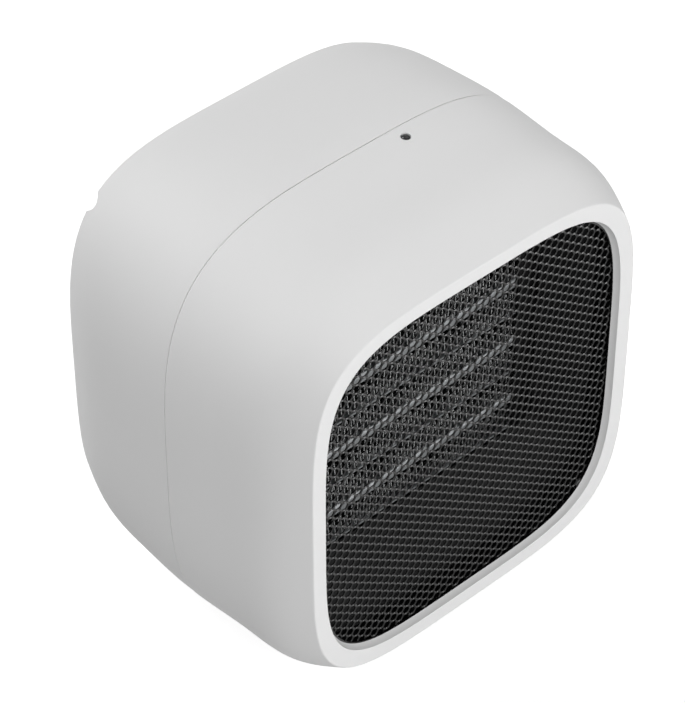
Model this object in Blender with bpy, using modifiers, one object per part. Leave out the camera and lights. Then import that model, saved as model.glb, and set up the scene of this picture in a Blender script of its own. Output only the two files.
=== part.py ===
"""Mini desktop fan heater: a squarish barrel of two moulded shells round a finned heating element.

Metres, +Z up, the air outlet faces -Y. The origin lies under the middle of the body, where the feet stand.
Every piece is modelled in the body's own frame: x to the right, y back from the front rim, z up from
the middle of the outlet. One empty carries that frame to its place over the feet.
"""

import math

import bmesh
import bpy
import numpy as np
from mathutils import Matrix, Vector

# Body, over both shells. Its overall sizes follow from the fan module inside it.
PROFILE_DEPTH_SHARES = (0.0, 0.12, 0.28, 0.50, 0.72, 0.88, 1.0)
PROFILE_SIZE_SHARES = (0.864, 0.940, 0.972, 1.0, 0.987, 0.952, 0.885)
SQUARENESS_DEPTH_SHARES = (0.0, 0.5, 1.0)
SQUARENESS = (4.35, 3.53, 3.90)
RING_CROWDING = 1.5
WALL = 0.0024

# Facets round each kind of curve
OUTLINE_STEPS = 36
ROUND_STEPS = 32
HUB_STEPS = 24
DISC_STEPS = 20
MOTOR_STEPS = 18
BORE_STEPS = 16
FOOT_STEPS = 14
POST_STEPS = 12
COLUMN_STEPS = 10
HOLE_STEPS = 8
SCREW_STEPS = 7
BLADE_SPANS = 4
BLADE_CHORDS = 3

# Clearances
GAP = 0.0003
RUNNING_CLEARANCE = 0.0001
OVERRUN = 0.002

# Front rim and the seam between the shells
RIM_BAND = 0.0034
RIM_THICKNESS = 0.0020
RIM_EDGE_RADIUS = 0.0006
SEAM_DEPTH = 0.0420
LAP_DEPTH = 0.0020
LAP_WALL = 0.0011

# Back of the body
REAR_EDGE_RADIUS = 0.0016
REAR_BAND = 0.0050
REAR_RECESS = 0.0030
REAR_PANEL = 0.0022

# Screws that hold the shells together, deep in pockets at the four rear corners
POCKET_CLEARANCE = 0.0005
POCKET_INSET = 0.00125
POCKET_FLOOR = 0.0040
BOSS_WALL = 0.0016
COLUMN_WALL = 0.0013
SHELL_SCREW_RADIUS = 0.0014
SHELL_SCREW_LENGTH = 0.0120
SHELL_SCREW_HEAD_RADIUS = 0.0025
SHELL_SCREW_HEAD = 0.0020

# Feet
FOOT_X = 0.0300
FOOT_DEPTH_SHARES = (0.25, 0.77)
FOOT_RADIUS = 0.0046
FOOT_THICKNESS = 0.0020
FOOT_SEAT = 0.0010
FOOT_RIM = 0.0014
BASE_CLEARANCE = 0.0012

# Outlet grille
GRILLE_THICKNESS = 0.0014
GRILLE_FIT = 0.0004
GRILLE_BORDER = 0.0008
CELL_PITCH = 0.0106
CELL_WEB = 0.0016
CELL_TURN_DEG = 6.0
CELL_KEEP_SHARE = 0.4

# Outlet duct: a funnel from the grille to the collar that holds the heater
DUCT_WALL = 0.0014
DUCT_FLANGE = 0.0014
DUCT_LIP = 0.0004
DUCT_LENGTH = 0.0145
COLLAR_SQUARENESS = 40.0
COLLAR_CLEARANCE = 0.0006

# Heating element
FIN_PACK_WIDTH = 0.0670
FIN_HEIGHT = 0.0072
FIN_THICKNESS = 0.0004
FIN_FOLDS = 10
HEATER_DEPTH = 0.0150
BAR_HEIGHT = 0.0026
PLATE_THICKNESS = 0.0005
BAR_EDGE = 0.0004
BAR_COUNT = 3
BAR_TAIL = 0.0026
FRAME_WIDTH = 0.0040
FRAME_BEVEL = 0.0008
TERMINAL_LENGTH = 0.0100
TERMINAL_WIDTH = 0.0048
TERMINAL_THICKNESS = 0.0008

# Joint between the duct and the fan's shroud
JOINT_FLANGE = 0.0018
JOINT_FLANGE_SIDE = 0.0010
JOINT_FLANGE_TOP = 0.0056
DUCT_SCREW_X = 0.0300
SMALL_SCREW_RADIUS = 0.0010
SMALL_SCREW_HEAD_RADIUS = 0.0019
SMALL_SCREW_HEAD = 0.0013

# Fan shroud and its motor mount
SHROUD_RADIUS = 0.0415
SHROUD_WALL = 0.0016
SHROUD_THROAT = 0.0107
SHROUD_LEAD = 0.0002
SIDE_CLEARANCE = 0.0101
SPOKE_COUNT = 4
SPOKE_WIDTH = 0.0034
SPOKE_DEPTH = 0.0030
MOTOR_CUP_WALL = 0.0014
MOTOR_CUP_LENGTH = 0.0060
MOTOR_CUP_FLOOR = 0.0016
EAR_OVERLAP = 0.0006
EAR_THICKNESS = 0.0024
POST_WALL = 0.0017
POST_CLEARANCE = 0.0006
POST_ANGLE_DEG = 22.0
MODULE_SCREW_LENGTH = 0.0090

# Motor and fan
MOTOR_RADIUS = 0.0120
MOTOR_LENGTH = 0.0140
MOTOR_CAP = 0.0026
MOTOR_TO_PANEL = 0.0038
MOTOR_EDGE = 0.0008
BEARING_RADIUS = 0.0036
BEARING_LENGTH = 0.0024
MOTOR_SCREW_CIRCLE = 0.0078
SHAFT_RADIUS = 0.0010
SHAFT_BORE_DEPTH = 0.0090
FAN_TIP_CLEARANCE = 0.0020
FAN_BLADES = 7
FAN_HUB_RADIUS = 0.0130
FAN_HUB_MARGIN = 0.0007
FAN_HUB_WALL = 0.0014
FAN_HUB_ROUND = 0.0016
FAN_BOSS_RADIUS = 0.0034
FAN_TO_CUP = 0.0006
FAN_TO_BEARING = 0.0016
BLADE_THICKNESS = 0.0011
BLADE_ROOT_CHORD = 0.0145
BLADE_TIP_CHORD = 0.0235
BLADE_ROOT_PITCH_DEG = 47.0
BLADE_TIP_PITCH_DEG = 24.0
BLADE_CAMBER_SHARE = 0.09

# Intake grille in the back
INTAKE_INSET = 0.0085
INTAKE_FLANGE = 0.0025
INTAKE_THICKNESS = 0.0016
INTAKE_SPIGOT = 0.0010
INTAKE_SPIGOT_LENGTH = 0.0024
SLOT_WIDTH = 0.0036
SLOT_RING_SHARES = ((0.15, 0.47, 8), (0.53, 0.93, 18))

# Power switch
SWITCH_X = -0.0185
SWITCH_BELOW_INTAKE = 0.0012
SWITCH_BEZEL_LENGTH = 0.0160
SWITCH_BEZEL_HEIGHT = 0.0104
SWITCH_BEZEL = 0.0012
SWITCH_LIP = 0.0010
SWITCH_EDGE = 0.00025
SWITCH_BODY_DEPTH = 0.0120
SWITCH_WALL = 0.0010
SWITCH_FIT = 0.0003
SWITCH_FLOOR = 0.0050
ROCKER_LENGTH = 0.0098
ROCKER_PIVOT_DEPTH = 0.0032
ROCKER_CREST = 0.0036
ROCKER_VALLEY = 0.0024
ROCKER_TILT_DEG = 9.0
ROCKER_PIN_RADIUS = 0.0008
ROCKER_PIN_END = 0.0006
ROCKER_FLOOR_CLEARANCE = 0.0009
ROCKER_UNDERSIDE_DEG = (-20, -55, -90, -125, -160)
SPADE_LENGTH = 0.0055
SPADE_SPACING = 0.0064

# Cable bushing, with an empty bore
BUSHING_X = 0.0210
BUSHING_BORE = 0.0032
BUSHING_WALL = 0.0013
BUSHING_LIP = 0.0010
BUSHING_LIP_THICKNESS = 0.0015
BUSHING_INNER_LENGTH = 0.0030

# Control board on posts in the rear shell
BOARD_WIDTH = 0.0500
BOARD_DEPTH = 0.0230
BOARD_THICKNESS = 0.0014
BOARD_BACK_CLEARANCE = 0.0060
BOARD_LIFT = 0.0096
BAY_CLEARANCE = 0.0019
BOARD_POST_WALL = 0.0013
BOARD_SCREW_INSET = 0.0040
BOARD_SCREW_LENGTH = 0.0050
CAPACITOR_SIZE = (0.0110, 0.0060, 0.0052)
TERMINAL_BLOCK_SIZE = (0.0100, 0.0070, 0.0050)
TILT_SWITCH_RADIUS = 0.0024
TILT_SWITCH_HEIGHT = 0.0046
PART_SPACING = 0.0010
PART_EDGE = 0.0005

# Indicator lamp under its lens, in the top of the front shell
LENS_X = 0.0120
LENS_BEFORE_SEAM = 0.0039
LENS_RADIUS = 0.0011
LENS_FIT = 0.00025
LENS_FLANGE = 0.0018
LENS_BOSS = 0.0007
LENS_BOSS_THICKNESS = 0.0008
LENS_FLANGE_THICKNESS = 0.0008
LED_RADIUS = 0.0015
LED_LENGTH = 0.0046
LED_RIM = 0.0003
LED_BOARD_WIDTH = 0.0180
LED_BOARD_DEPTH = 0.0060
LED_BOARD_THICKNESS = 0.0010
LED_POST_RADIUS = 0.0020
LED_POST_INSET = 0.0024
LED_BOARD_SETBACK = 0.0014
LED_STAKE_RADIUS = 0.0008
LED_STAKE_HEAD_RADIUS = 0.0016
LED_STAKE_HEAD = 0.0006

# Overheat cut-outs on top of the collar
THERMOSTAT_RADIUS = 0.0048
THERMOSTAT_HEIGHT = 0.0050
THERMOSTAT_BASE = 0.0010
THERMOSTAT_BASE_LENGTH = 0.0200
FUSE_RADIUS = 0.0018
FUSE_LENGTH = 0.0100
FUSE_X = 0.0220

# Radii and lengths that follow from the sizes
POCKET_RADIUS = SHELL_SCREW_HEAD_RADIUS + POCKET_CLEARANCE
COLUMN_RADIUS = SHELL_SCREW_RADIUS + GAP + COLUMN_WALL
POST_RADIUS = SMALL_SCREW_RADIUS + GAP + POST_WALL
BOARD_POST_RADIUS = SMALL_SCREW_RADIUS + GAP + BOARD_POST_WALL
EAR_RADIUS = POST_CLEARANCE + POST_RADIUS + EAR_OVERLAP
DUCT_MOUTH_INSET = WALL + GRILLE_FIT + DUCT_WALL + DUCT_LIP
FAN_HUB_LENGTH = BLADE_ROOT_CHORD * math.sin(math.radians(BLADE_ROOT_PITCH_DEG)) + 2 * FAN_HUB_MARGIN
FAN_TIP_DEPTH = BLADE_TIP_CHORD * math.sin(math.radians(BLADE_TIP_PITCH_DEG)) + BLADE_THICKNESS
FAN_TIP_RADIUS = SHROUD_RADIUS - FAN_TIP_CLEARANCE
CUP_INNER = MOTOR_RADIUS + GAP
CUP_OUTER = CUP_INNER + MOTOR_CUP_WALL
RING_OUTER = SHROUD_RADIUS + SHROUD_WALL
POST_REACH = RING_OUTER + POST_CLEARANCE + POST_RADIUS
INTAKE_RADIUS = SHROUD_RADIUS - INTAKE_INSET

# Heating element and its collar, across
FRAME_INNER = FIN_PACK_WIDTH / 2 + GAP
FRAME_OUTER = FRAME_INNER + FRAME_WIDTH
BAR_HALF_LENGTH = FRAME_INNER + BAR_TAIL
BAR_PITCH = BAR_HEIGHT + 2 * FIN_HEIGHT + PLATE_THICKNESS + 4 * GAP
PACK_HALF_HEIGHT = BAR_COUNT * BAR_PITCH / 2 + PLATE_THICKNESS / 2
COLLAR_HALF_WIDTH = FRAME_OUTER + COLLAR_CLEARANCE
COLLAR_HALF_HEIGHT = PACK_HALF_HEIGHT + COLLAR_CLEARANCE
COLLAR_TOP = COLLAR_HALF_HEIGHT + DUCT_WALL
FLANGE_HALF_WIDTH = COLLAR_HALF_WIDTH + DUCT_WALL + JOINT_FLANGE_SIDE
FLANGE_HALF_HEIGHT = COLLAR_TOP + JOINT_FLANGE_TOP
DUCT_SCREW_Z = (COLLAR_TOP + FLANGE_HALF_HEIGHT) / 2

# Depths, from the front rim to the back
GRILLE_FRONT = RIM_THICKNESS + GAP
DUCT_FRONT = GRILLE_FRONT + GRILLE_THICKNESS + GAP
HEATER_FRONT = DUCT_FRONT + DUCT_LENGTH + GAP
HEATER_BACK = HEATER_FRONT + HEATER_DEPTH
HEATER_MIDDLE = (HEATER_FRONT + HEATER_BACK) / 2
COLLAR_BACK = HEATER_BACK + COLLAR_CLEARANCE
COLLAR_MIDDLE = (DUCT_FRONT + DUCT_LENGTH + DUCT_FLANGE + COLLAR_BACK - JOINT_FLANGE) / 2
SHROUD_FRONT = COLLAR_BACK + GAP
RING_FRONT = SHROUD_FRONT + SHROUD_THROAT
FAN_MIDDLE = RING_FRONT + SHROUD_LEAD + FAN_TIP_DEPTH / 2
FAN_FRONT = FAN_MIDDLE - FAN_HUB_LENGTH / 2
FAN_BACK = FAN_FRONT + FAN_HUB_LENGTH
CUP_FRONT = FAN_BACK + FAN_TO_CUP
RING_BACK = CUP_FRONT + SPOKE_DEPTH
MOTOR_FRONT = CUP_FRONT + MOTOR_CUP_FLOOR + GAP
MOTOR_BACK = MOTOR_FRONT + MOTOR_LENGTH
BEARING_FRONT = MOTOR_FRONT - BEARING_LENGTH
PANEL_INNER = MOTOR_BACK + GAP + MOTOR_CAP + MOTOR_TO_PANEL
PANEL_OUTER = PANEL_INNER + REAR_PANEL
BODY_DEPTH = PANEL_OUTER + REAR_RECESS
REAR_START = SEAM_DEPTH + GAP
LENS_DEPTH = SEAM_DEPTH - LENS_BEFORE_SEAM

# Width and height of the body: room beside the shroud's ears, and a bay for the board under its ring
TALLEST_ON_BOARD = max(CAPACITOR_SIZE[2], TERMINAL_BLOCK_SIZE[2], TILT_SWITCH_HEIGHT)
HALF_WIDTH = POST_REACH * math.cos(math.radians(POST_ANGLE_DEG)) + EAR_RADIUS + SIDE_CLEARANCE + WALL
HALF_HEIGHT = RING_OUTER + BAY_CLEARANCE + TALLEST_ON_BOARD + GAP + BOARD_LIFT + WALL
BODY_CENTRE_Z = HALF_HEIGHT + BASE_CLEARANCE
BOARD_TOP = WALL + BOARD_LIFT - HALF_HEIGHT
BOARD_BACK = PANEL_INNER - BOARD_BACK_CLEARANCE

# Places of the parts along the control board, from its right screw inwards
BOARD_SCREW_X = BOARD_WIDTH / 2 - BOARD_SCREW_INSET
TERMINAL_BLOCK_X = BOARD_SCREW_X - SMALL_SCREW_HEAD_RADIUS - PART_SPACING - TERMINAL_BLOCK_SIZE[0] / 2
CAPACITOR_X = TERMINAL_BLOCK_X - TERMINAL_BLOCK_SIZE[0] / 2 - PART_SPACING - CAPACITOR_SIZE[0] / 2
TILT_SWITCH_X = CAPACITOR_X - CAPACITOR_SIZE[0] / 2 - PART_SPACING - TILT_SWITCH_RADIUS

# Power switch in the panel
SWITCH_Z = -(INTAKE_RADIUS + INTAKE_FLANGE + SWITCH_BELOW_INTAKE + SWITCH_BEZEL_HEIGHT / 2)
SWITCH_FRONT = PANEL_OUTER + GAP
SWITCH_FACE = SWITCH_FRONT + SWITCH_BEZEL
SWITCH_BODY_LENGTH = SWITCH_BEZEL_LENGTH - 2 * SWITCH_LIP
SWITCH_BODY_HEIGHT = SWITCH_BEZEL_HEIGHT - 2 * SWITCH_LIP
SWITCH_BACK = SWITCH_FRONT - SWITCH_BODY_DEPTH
PIVOT_DEPTH = SWITCH_FACE - ROCKER_PIVOT_DEPTH

# Finishes of the pieces: display colour, roughness and how metallic they are
DISPLAY_GAMMA = 2.2
WHITE_ABS = ("D9D9D9", 0.45, 0.0)
BLACK_PLASTIC = ("151515", 0.55, 0.0)
BLACK_METAL = ("101010", 0.40, 0.0)
ALUMINIUM = ("A9ABAD", 0.35, 1.0)
BRASS = ("B59A55", 0.35, 1.0)
STEEL = ("8C8E90", 0.35, 1.0)
RUBBER = ("1C1C1C", 0.85, 0.0)
BOARD_GREEN = ("1F5A38", 0.50, 0.0)
DARK_LENS = ("0C0C0D", 0.08, 0.0)
GREY_PART = ("5A5C60", 0.50, 0.0)

# Turns of a screw about x, by where its head faces
HEAD_BACK = 0.0
HEAD_UP = math.pi / 2
HEAD_FRONT = math.pi

# Merging of points that a curve or a turned shape leaves twice, and the angle that stays a sharp edge
MERGE_DISTANCE = 0.00001
SHARP_ANGLE = math.radians(35)

heater_frame = None
parts_collection = None
cutters_collection = None


def clear_scene():
    """Removes every object that the file opened with."""
    for item in list(bpy.data.objects):
        bpy.data.objects.remove(item, do_unlink=True)


def start_collections():
    """Makes the object's collection, the cutters' collection and the empty that carries the body's frame."""
    global heater_frame, parts_collection, cutters_collection
    parts_collection = bpy.data.collections.new("desktop_fan_heater")
    cutters_collection = bpy.data.collections.new("cutters")
    for collection in (parts_collection, cutters_collection):
        bpy.context.scene.collection.children.link(collection)
    heater_frame = bpy.data.objects.new("heater_frame", None)
    parts_collection.objects.link(heater_frame)
    heater_frame.location = (0, -BODY_DEPTH / 2, BODY_CENTRE_Z)


def finish_of(name, colour, roughness, metallic=0.0):
    """A plain Principled finish for one piece, from its hex colour."""
    channels = [int(colour[i:i + 2], 16) / 255 for i in (0, 2, 4)]
    made = bpy.data.materials.new(name)
    made.use_nodes = True
    shader = made.node_tree.nodes["Principled BSDF"]
    shader.inputs["Base Color"].default_value = (*(c ** DISPLAY_GAMMA for c in channels), 1)
    shader.inputs["Roughness"].default_value = roughness
    shader.inputs["Metallic"].default_value = metallic
    return made


def piece(name, mesh, finish, location=(0, 0, 0), rotation=(0, 0, 0)):
    """A named part of the heater, placed in the body's frame."""
    mesh.shade_smooth()
    mesh.set_sharp_from_angle(angle=SHARP_ANGLE)
    if not mesh.materials:
        mesh.materials.append(finish_of(name, *finish))
    made = bpy.data.objects.new(name, mesh)
    parts_collection.objects.link(made)
    made.parent = heater_frame
    made.location = location
    made.rotation_euler = rotation
    return made


def cutter(name, mesh, location=(0, 0, 0)):
    """A hidden shape that a Boolean takes away or adds, placed in the body's frame."""
    made = bpy.data.objects.new(name, mesh)
    cutters_collection.objects.link(made)
    made.parent = heater_frame
    made.location = location
    made.display_type = "WIRE"
    made.hide_render = True
    return made


def combine(target, operation, *operands):
    """Applies each operand to the target with a Boolean modifier."""
    for operand in operands:
        step = target.modifiers.new(operand.name, "BOOLEAN")
        step.operation = operation
        step.solver = "EXACT"
        step.object = operand


def mesh_from(name, bm):
    """Turns a bmesh into a mesh whose faces point outwards."""
    bmesh.ops.recalc_face_normals(bm, faces=bm.faces)
    mesh = bpy.data.meshes.new(name)
    bm.to_mesh(mesh)
    bm.free()
    return mesh


def joined_mesh(name, *meshes):
    """One mesh that holds several separate solids."""
    bm = bmesh.new()
    for mesh in meshes:
        bm.from_mesh(mesh)
        bpy.data.meshes.remove(mesh)
    made = bpy.data.meshes.new(name)
    bm.to_mesh(made)
    bm.free()
    return made


def smooth_through(x, places, values):
    """The value at x of a smooth curve through the given places."""
    slopes = np.gradient(np.array(values), np.array(places))
    k = int(np.clip(np.searchsorted(places, x) - 1, 0, len(places) - 2))
    span = places[k + 1] - places[k]
    t = (min(max(x, places[0]), places[-1]) - places[k]) / span
    start = (1 + 2 * t) * (1 - t) ** 2 * values[k] + t * (1 - t) ** 2 * span * slopes[k]
    end = t * t * (3 - 2 * t) * values[k + 1] - t * t * (1 - t) * span * slopes[k + 1]
    return start + end


def body_section(y, inset=0.0):
    """Half-width, half-height and squareness of the body at a depth, drawn in by an inset."""
    share = y / BODY_DEPTH
    size = smooth_through(share, PROFILE_DEPTH_SHARES, PROFILE_SIZE_SHARES)
    squareness = smooth_through(share, SQUARENESS_DEPTH_SHARES, SQUARENESS)
    return size * HALF_WIDTH - inset, size * HALF_HEIGHT - inset, squareness


def outline_point(angle, half_width, half_height, squareness):
    """The point of a rounded-square outline at an angle."""
    c, s = math.cos(angle), math.sin(angle)
    power = 2 / squareness
    x = math.copysign(abs(c) ** power, c) * half_width
    z = math.copysign(abs(s) ** power, s) * half_height
    return x, z


def ring(y, half_width, half_height, squareness):
    """The points round one outline at a depth."""
    angles = [2 * math.pi * i / OUTLINE_STEPS for i in range(OUTLINE_STEPS)]
    outline = [outline_point(a, half_width, half_height, squareness) for a in angles]
    return [(x, y, z) for x, z in outline]


def body_ring(y, inset=0.0):
    """The points round the body at a depth, drawn in by an inset."""
    return ring(y, *body_section(y, inset))


def loft(name, rings, closed=False):
    """A solid through the rings: capped at both ends, or closed on itself into a tube."""
    bm = bmesh.new()
    rows = [[bm.verts.new(p) for p in points] for points in rings]
    pairs = list(zip(rows, rows[1:]))
    if closed:
        pairs.append((rows[-1], rows[0]))
    else:
        bm.faces.new(rows[0])
        bm.faces.new(rows[-1])
    for row, following in pairs:
        for i in range(len(row)):
            j = (i + 1) % len(row)
            bm.faces.new((row[i], row[j], following[j], following[i]))
    return mesh_from(name, bm)


def turned(name, profile, steps, axis="Y"):
    """A solid of revolution about the axis from a profile of (radius, place along the axis)."""
    bm = bmesh.new()
    verts = [bm.verts.new((r, a, 0)) if axis == "Y" else bm.verts.new((r, 0, a)) for r, a in profile]
    for i, vert in enumerate(verts):
        following = verts[(i + 1) % len(verts)]
        on_axis = vert.co.x == 0 and following.co.x == 0
        if not on_axis:
            bm.edges.new((vert, following))
    mesh = bpy.data.meshes.new(name)
    bm.to_mesh(mesh)
    bm.free()
    shape = bpy.data.objects.new(name, mesh)
    cutters_collection.objects.link(shape)
    screw = shape.modifiers.new("turn", "SCREW")
    screw.axis = axis
    screw.steps = steps
    screw.render_steps = steps
    screw.use_merge_vertices = True
    screw.merge_threshold = MERGE_DISTANCE
    mesh = evaluated_mesh(shape)
    bm = bmesh.new()
    bm.from_mesh(mesh)
    bpy.data.meshes.remove(mesh)
    return mesh_from(name, bm)


def evaluated_mesh(shape):
    """The mesh that an object's modifiers or curve make, after which the object is removed."""
    bpy.context.view_layer.update()
    graph = bpy.context.evaluated_depsgraph_get()
    mesh = bpy.data.meshes.new_from_object(shape.evaluated_get(graph))
    bpy.data.objects.remove(shape, do_unlink=True)
    return mesh


def rod(name, radius, start, end, steps=DISC_STEPS):
    """A cylinder between two points."""
    start, end = Vector(start), Vector(end)
    bm = bmesh.new()
    bmesh.ops.create_cone(
        bm, cap_ends=True, segments=steps, radius1=radius, radius2=radius, depth=(end - start).length)
    turn = (end - start).to_track_quat("Z", "Y").to_matrix().to_4x4()
    bmesh.ops.transform(bm, matrix=Matrix.Translation((start + end) / 2) @ turn, verts=bm.verts)
    return mesh_from(name, bm)


def rods(name, radius, spots, start, end, steps=DISC_STEPS):
    """Separate cylinders along y at several (x, z) spots."""
    return joined_mesh(name, *[rod(name, radius, (x, start, z), (x, end, z), steps) for x, z in spots])


def block(name, low, high, bevel=0.0):
    """A box between two corners, with its edges rounded off by a bevel."""
    low, high = Vector(low), Vector(high)
    bm = bmesh.new()
    bmesh.ops.create_cube(bm, size=1)
    bmesh.ops.scale(bm, vec=high - low, verts=bm.verts)
    bmesh.ops.translate(bm, vec=(low + high) / 2, verts=bm.verts)
    if bevel:
        bmesh.ops.bevel(bm, geom=bm.edges, offset=bevel, segments=1, affect="EDGES")
    return mesh_from(name, bm)


def sheet(name, outlines, front, thickness):
    """A flat sheet of a thickness behind a front plane, from an outline in (x, z) and its holes."""
    curve = bpy.data.curves.new(name, "CURVE")
    curve.dimensions = "2D"
    curve.fill_mode = "BOTH"
    curve.extrude = thickness / 2
    for outline in outlines:
        spline = curve.splines.new("POLY")
        spline.points.add(len(outline) - 1)
        for point, (x, z) in zip(spline.points, outline):
            point.co = (x, z, 0, 1)
        spline.use_cyclic_u = True
    shape = bpy.data.objects.new(name, curve)
    cutters_collection.objects.link(shape)
    mesh = evaluated_mesh(shape)
    bm = bmesh.new()
    bm.from_mesh(mesh)
    bpy.data.meshes.remove(mesh)
    bmesh.ops.remove_doubles(bm, verts=bm.verts, dist=MERGE_DISTANCE)
    upright = Matrix.Translation((0, front + thickness / 2, 0)) @ Matrix.Rotation(math.pi / 2, 4, "X")
    bmesh.ops.transform(bm, matrix=upright, verts=bm.verts)
    return mesh_from(name, bm)


def screw_mesh(name, head_radius, head, radius, length):
    """A pan-head screw along y, whose head's underside is at zero and whose shank points to -y."""
    profile = [(0, head), (head_radius, head / 2), (head_radius, 0), (radius, 0),
               (radius, -length), (0, -length)]
    return turned(name, profile, SCREW_STEPS)


def screws(name, seats, head_radius, head, radius, length, facing):
    """Alike screws at (x, y, z) seats, which share one mesh and face one way."""
    mesh = screw_mesh(name, head_radius, head, radius, length)
    for i, seat in enumerate(seats):
        piece(f"{name}_{i + 1}", mesh, STEEL, seat, (facing, 0, 0))


def small_screws(name, seats, length, facing):
    """Alike screws of the size that holds the inner pieces."""
    screws(name, seats, SMALL_SCREW_HEAD_RADIUS, SMALL_SCREW_HEAD, SMALL_SCREW_RADIUS, length, facing)


def four_corners(x, z):
    """The four mirrored (x, z) spots."""
    return [(sx * x, sz * z) for sx in (-1, 1) for sz in (-1, 1)]


def pocket_spots():
    """Where the shell screws' pockets run, just inside the rear outline's corners."""
    half_width, half_height, squareness = body_section(BODY_DEPTH)
    x, z = outline_point(math.pi / 4, half_width, half_height, squareness)
    outward = Vector((half_height, half_width)).normalized()
    return four_corners(x - outward.x * POCKET_INSET, z - outward.y * POCKET_INSET)


def post_spots():
    """Where the rear shell's posts hold the fan's shroud."""
    angle = math.radians(POST_ANGLE_DEG)
    return four_corners(POST_REACH * math.cos(angle), POST_REACH * math.sin(angle))


def foot_spots(depth_share):
    """Where a pair of feet stands, as (x, y)."""
    return [(side * FOOT_X, depth_share * BODY_DEPTH) for side in (-1, 1)]


def foot_pads(name, depth_share):
    """Moulded pads under a shell, which carry the rubber feet."""
    bottom = FOOT_THICKNESS - FOOT_SEAT - BODY_CENTRE_Z
    top = -body_section(depth_share * BODY_DEPTH)[1] / 2 - HALF_HEIGHT / 4
    radius = FOOT_RADIUS + GAP + FOOT_RIM
    spots = foot_spots(depth_share)
    return joined_mesh(name, *[rod(name, radius, (x, y, bottom), (x, y, top), FOOT_STEPS) for x, y in spots])


def foot_seats(name, depth_share):
    """The recesses in those pads."""
    bottom = -BODY_CENTRE_Z - OVERRUN
    top = FOOT_THICKNESS + GAP - BODY_CENTRE_Z
    radius = FOOT_RADIUS + GAP
    spots = foot_spots(depth_share)
    return joined_mesh(name, *[rod(name, radius, (x, y, bottom), (x, y, top), FOOT_STEPS) for x, y in spots])


def edge_arc(y_edge, radius, direction):
    """Rings round an edge of the body: (depth, inset) pairs from the side onto the face."""
    angles = [math.radians(degrees) for degrees in (0, 45, 90)]
    return [(y_edge - direction * radius * (1 - math.sin(a)), radius * (1 - math.cos(a))) for a in angles]


def depths_from_front(start, end, count):
    """Depths from start to end, closest together at the front."""
    return [start + (end - start) * (i / count) ** RING_CROWDING for i in range(count + 1)]


def depths_to_back(start, end, count):
    """Depths from start to end, closest together at the back."""
    return [end - (end - start) * (1 - i / count) ** RING_CROWDING for i in range(count + 1)]


def lens_surface():
    """Height of the body's top over the lens."""
    half_width, half_height, squareness = body_section(LENS_DEPTH)
    return half_height * (1 - (abs(LENS_X) / half_width) ** squareness) ** (1 / squareness)


def lens_flange_radius():
    """Radius of the lens's flange, inside the shell."""
    return LENS_RADIUS + LENS_FLANGE - LENS_FIT


def lens_flange_top():
    """Height of the flange's top, just under the flat boss inside the shell's wall."""
    return lens_surface() - WALL - LENS_BOSS_THICKNESS - GAP


def led_board_top():
    """Height of the lamp board's upper face."""
    return lens_flange_top() - LENS_FLANGE_THICKNESS - GAP - LED_LENGTH - GAP


def led_board_centre():
    """Where the lamp board's middle lies, as (x, y)."""
    return LENS_X, LENS_DEPTH - LED_BOARD_SETBACK


def led_post_spots():
    """Where the lamp board's posts hang, as (x, y)."""
    x, y = led_board_centre()
    reach = LED_BOARD_WIDTH / 2 - LED_POST_INSET
    return [(x - reach, y), (x + reach, y)]


def led_posts():
    """Posts under the top wall, each with a stake through the lamp's board and its melted head."""
    shoulder = led_board_top() + GAP
    neck = led_board_top() - LED_BOARD_THICKNESS - GAP
    end = neck - LED_STAKE_HEAD
    profile = [(0, HALF_HEIGHT), (LED_POST_RADIUS, HALF_HEIGHT), (LED_POST_RADIUS, shoulder),
               (LED_STAKE_RADIUS, shoulder), (LED_STAKE_RADIUS, neck), (LED_STAKE_HEAD_RADIUS, neck),
               (LED_STAKE_RADIUS, end), (0, end)]
    posts = []
    for x, y in led_post_spots():
        post = turned("led_posts", profile, HOLE_STEPS, "Z")
        post.transform(Matrix.Translation((x, y, 0)))
        posts.append(post)
    return joined_mesh("led_posts", *posts)


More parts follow.
